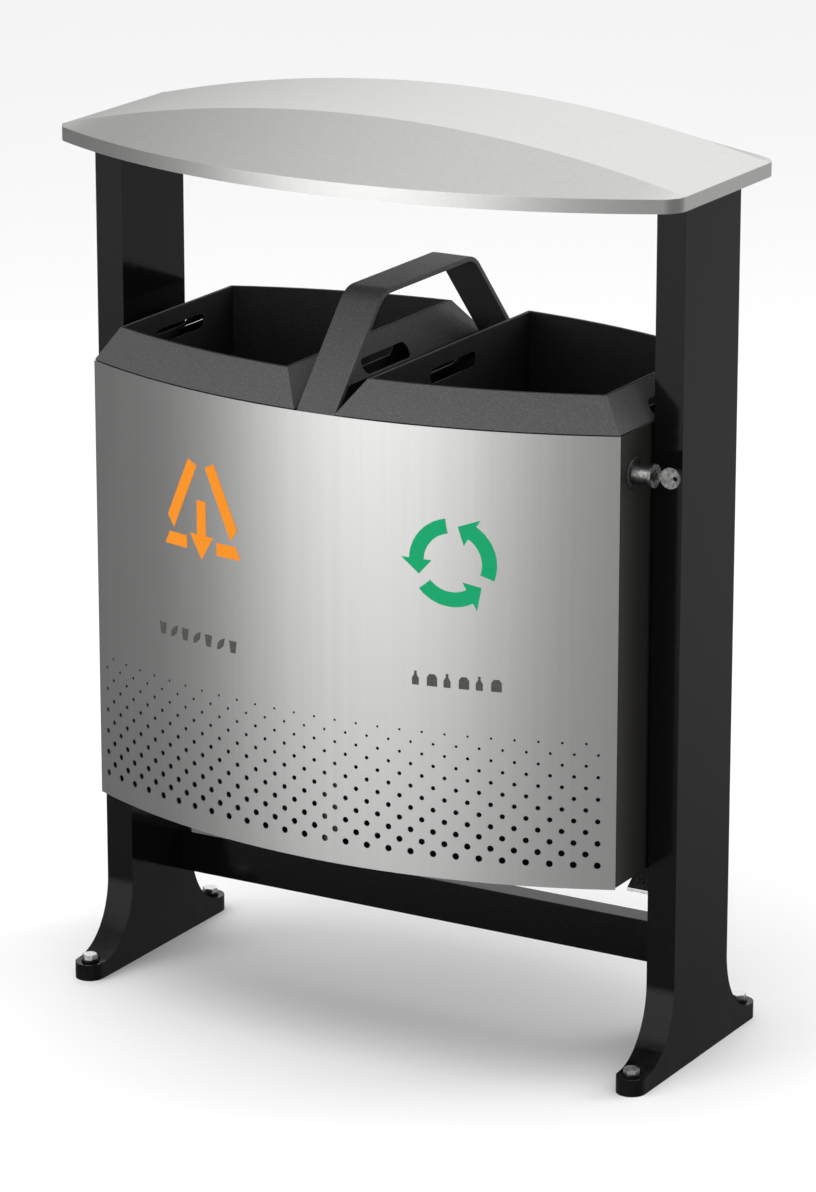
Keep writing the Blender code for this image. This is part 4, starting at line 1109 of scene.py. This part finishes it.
strap = bent_strap()
piece("strap_handle_bar", strap, COLLAR_POWDER, "housing", "bin_powder", "strap_handle", bevel=0.0008)
for end, facing in (("front", 1), ("rear", -1)):
    nodes = [f"handle_nut_{end}_left", f"handle_nut_{end}_right"]
    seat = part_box(nodes[0])[0].y if facing > 0 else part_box(nodes[0])[1].y
    heads = [(middle(node).x, seat, middle(node).z) for node in nodes]
    fasteners(f"handle_nuts_{end}", CAP_NUT, CAP_NUT_M8, (0, facing, 0), heads, "housing", nodes)


# Lock: a turned, nickel-plated cam lock in the right side wall, with a dark rosette behind it,
# a plug that turns in the barrel, and a bolt that the plug pushes into the post.

LOCK_Y = -0.104
LOCK_Z = 0.708
AXIS = (0.0, LOCK_Y, LOCK_Z)

rosette = bmesh.new()
profile = [
    (0.0093, 0.3396), (0.0093, 0.3415), (0.0122, 0.3415), (0.0126, 0.3411),
    (0.0134, 0.3411), (0.0138, 0.3415), (0.0156, 0.3415), (0.0160, 0.3411),
    (0.0166, 0.3411), (0.0170, 0.3414), (0.0175, 0.3408), (0.0175, 0.3396),
]
lathe(rosette, profile, AXIS, TO_PLUS_X, 72)
piece("lock_rosette_turned", rosette, NICKEL, "housing", "lock_metal", "lock_rosette", sharp=20.0)

barrel = bmesh.new()
profile = [
    (0.0065, 0.3660), (0.0070, 0.3665), (0.0128, 0.3665), (0.0135, 0.3658), (0.0135, 0.3632),
    (0.0130, 0.3625), (0.0106, 0.3616), (0.0106, 0.3610), (0.0116, 0.3460), (0.0120, 0.3424),
    (0.0117, 0.3419), (0.0090, 0.3419), (0.0090, 0.3300), (0.0065, 0.3300),
]
lathe(barrel, profile, AXIS, TO_PLUS_X, 72)
piece("lock_barrel_turned", barrel, NICKEL, "housing", "lock_metal", "lock_barrel", sharp=25.0)

ring_nut = merged_copy("lock_ring_nut")
piece("lock_ring_nut_hex", ring_nut, ZINC, "housing", "zinc_plate", "lock_ring_nut", bevel=0.0004)
guide = merged_copy("lock_bolt_guide")
piece("lock_bolt_guide_turned", guide, NYLON, "housing", "nylon", "lock_bolt_guide", bevel=0.0003)
plug = merged_copy("lock_plug")
piece("lock_plug_turned", plug, NICKEL, "lock_plug", "lock_metal", "lock_plug", bevel=0.0003)
bolt = merged_copy("lock_bolt")
piece("lock_bolt_pressed", bolt, ZINC, "lock_bolt", "zinc_plate", "lock_bolt", bevel=0.0003)
piece("key_stamped", merged_copy("key"), NICKEL, "key", "lock_metal", "key", bevel=0.0004)


# Bins: folded sheet tubs in fine-textured dark grey powder coat, the tubs' coat painted near-black as
# painted shade inside the bins. Each hangs from a sloping collar that covers the housing's edge, with a
# grip slot through the two side slopes.

for body in ("left_bin", "right_bin"):
    for node, powder in ((body, TUB_POWDER_PAINTED_SHADE), (f"{body}_collar", COLLAR_POWDER)):
        coated = merged_copy(node)
        piece(f"{node}_coated", coated, powder, body, "bin_powder", node, bevel=0.0004)
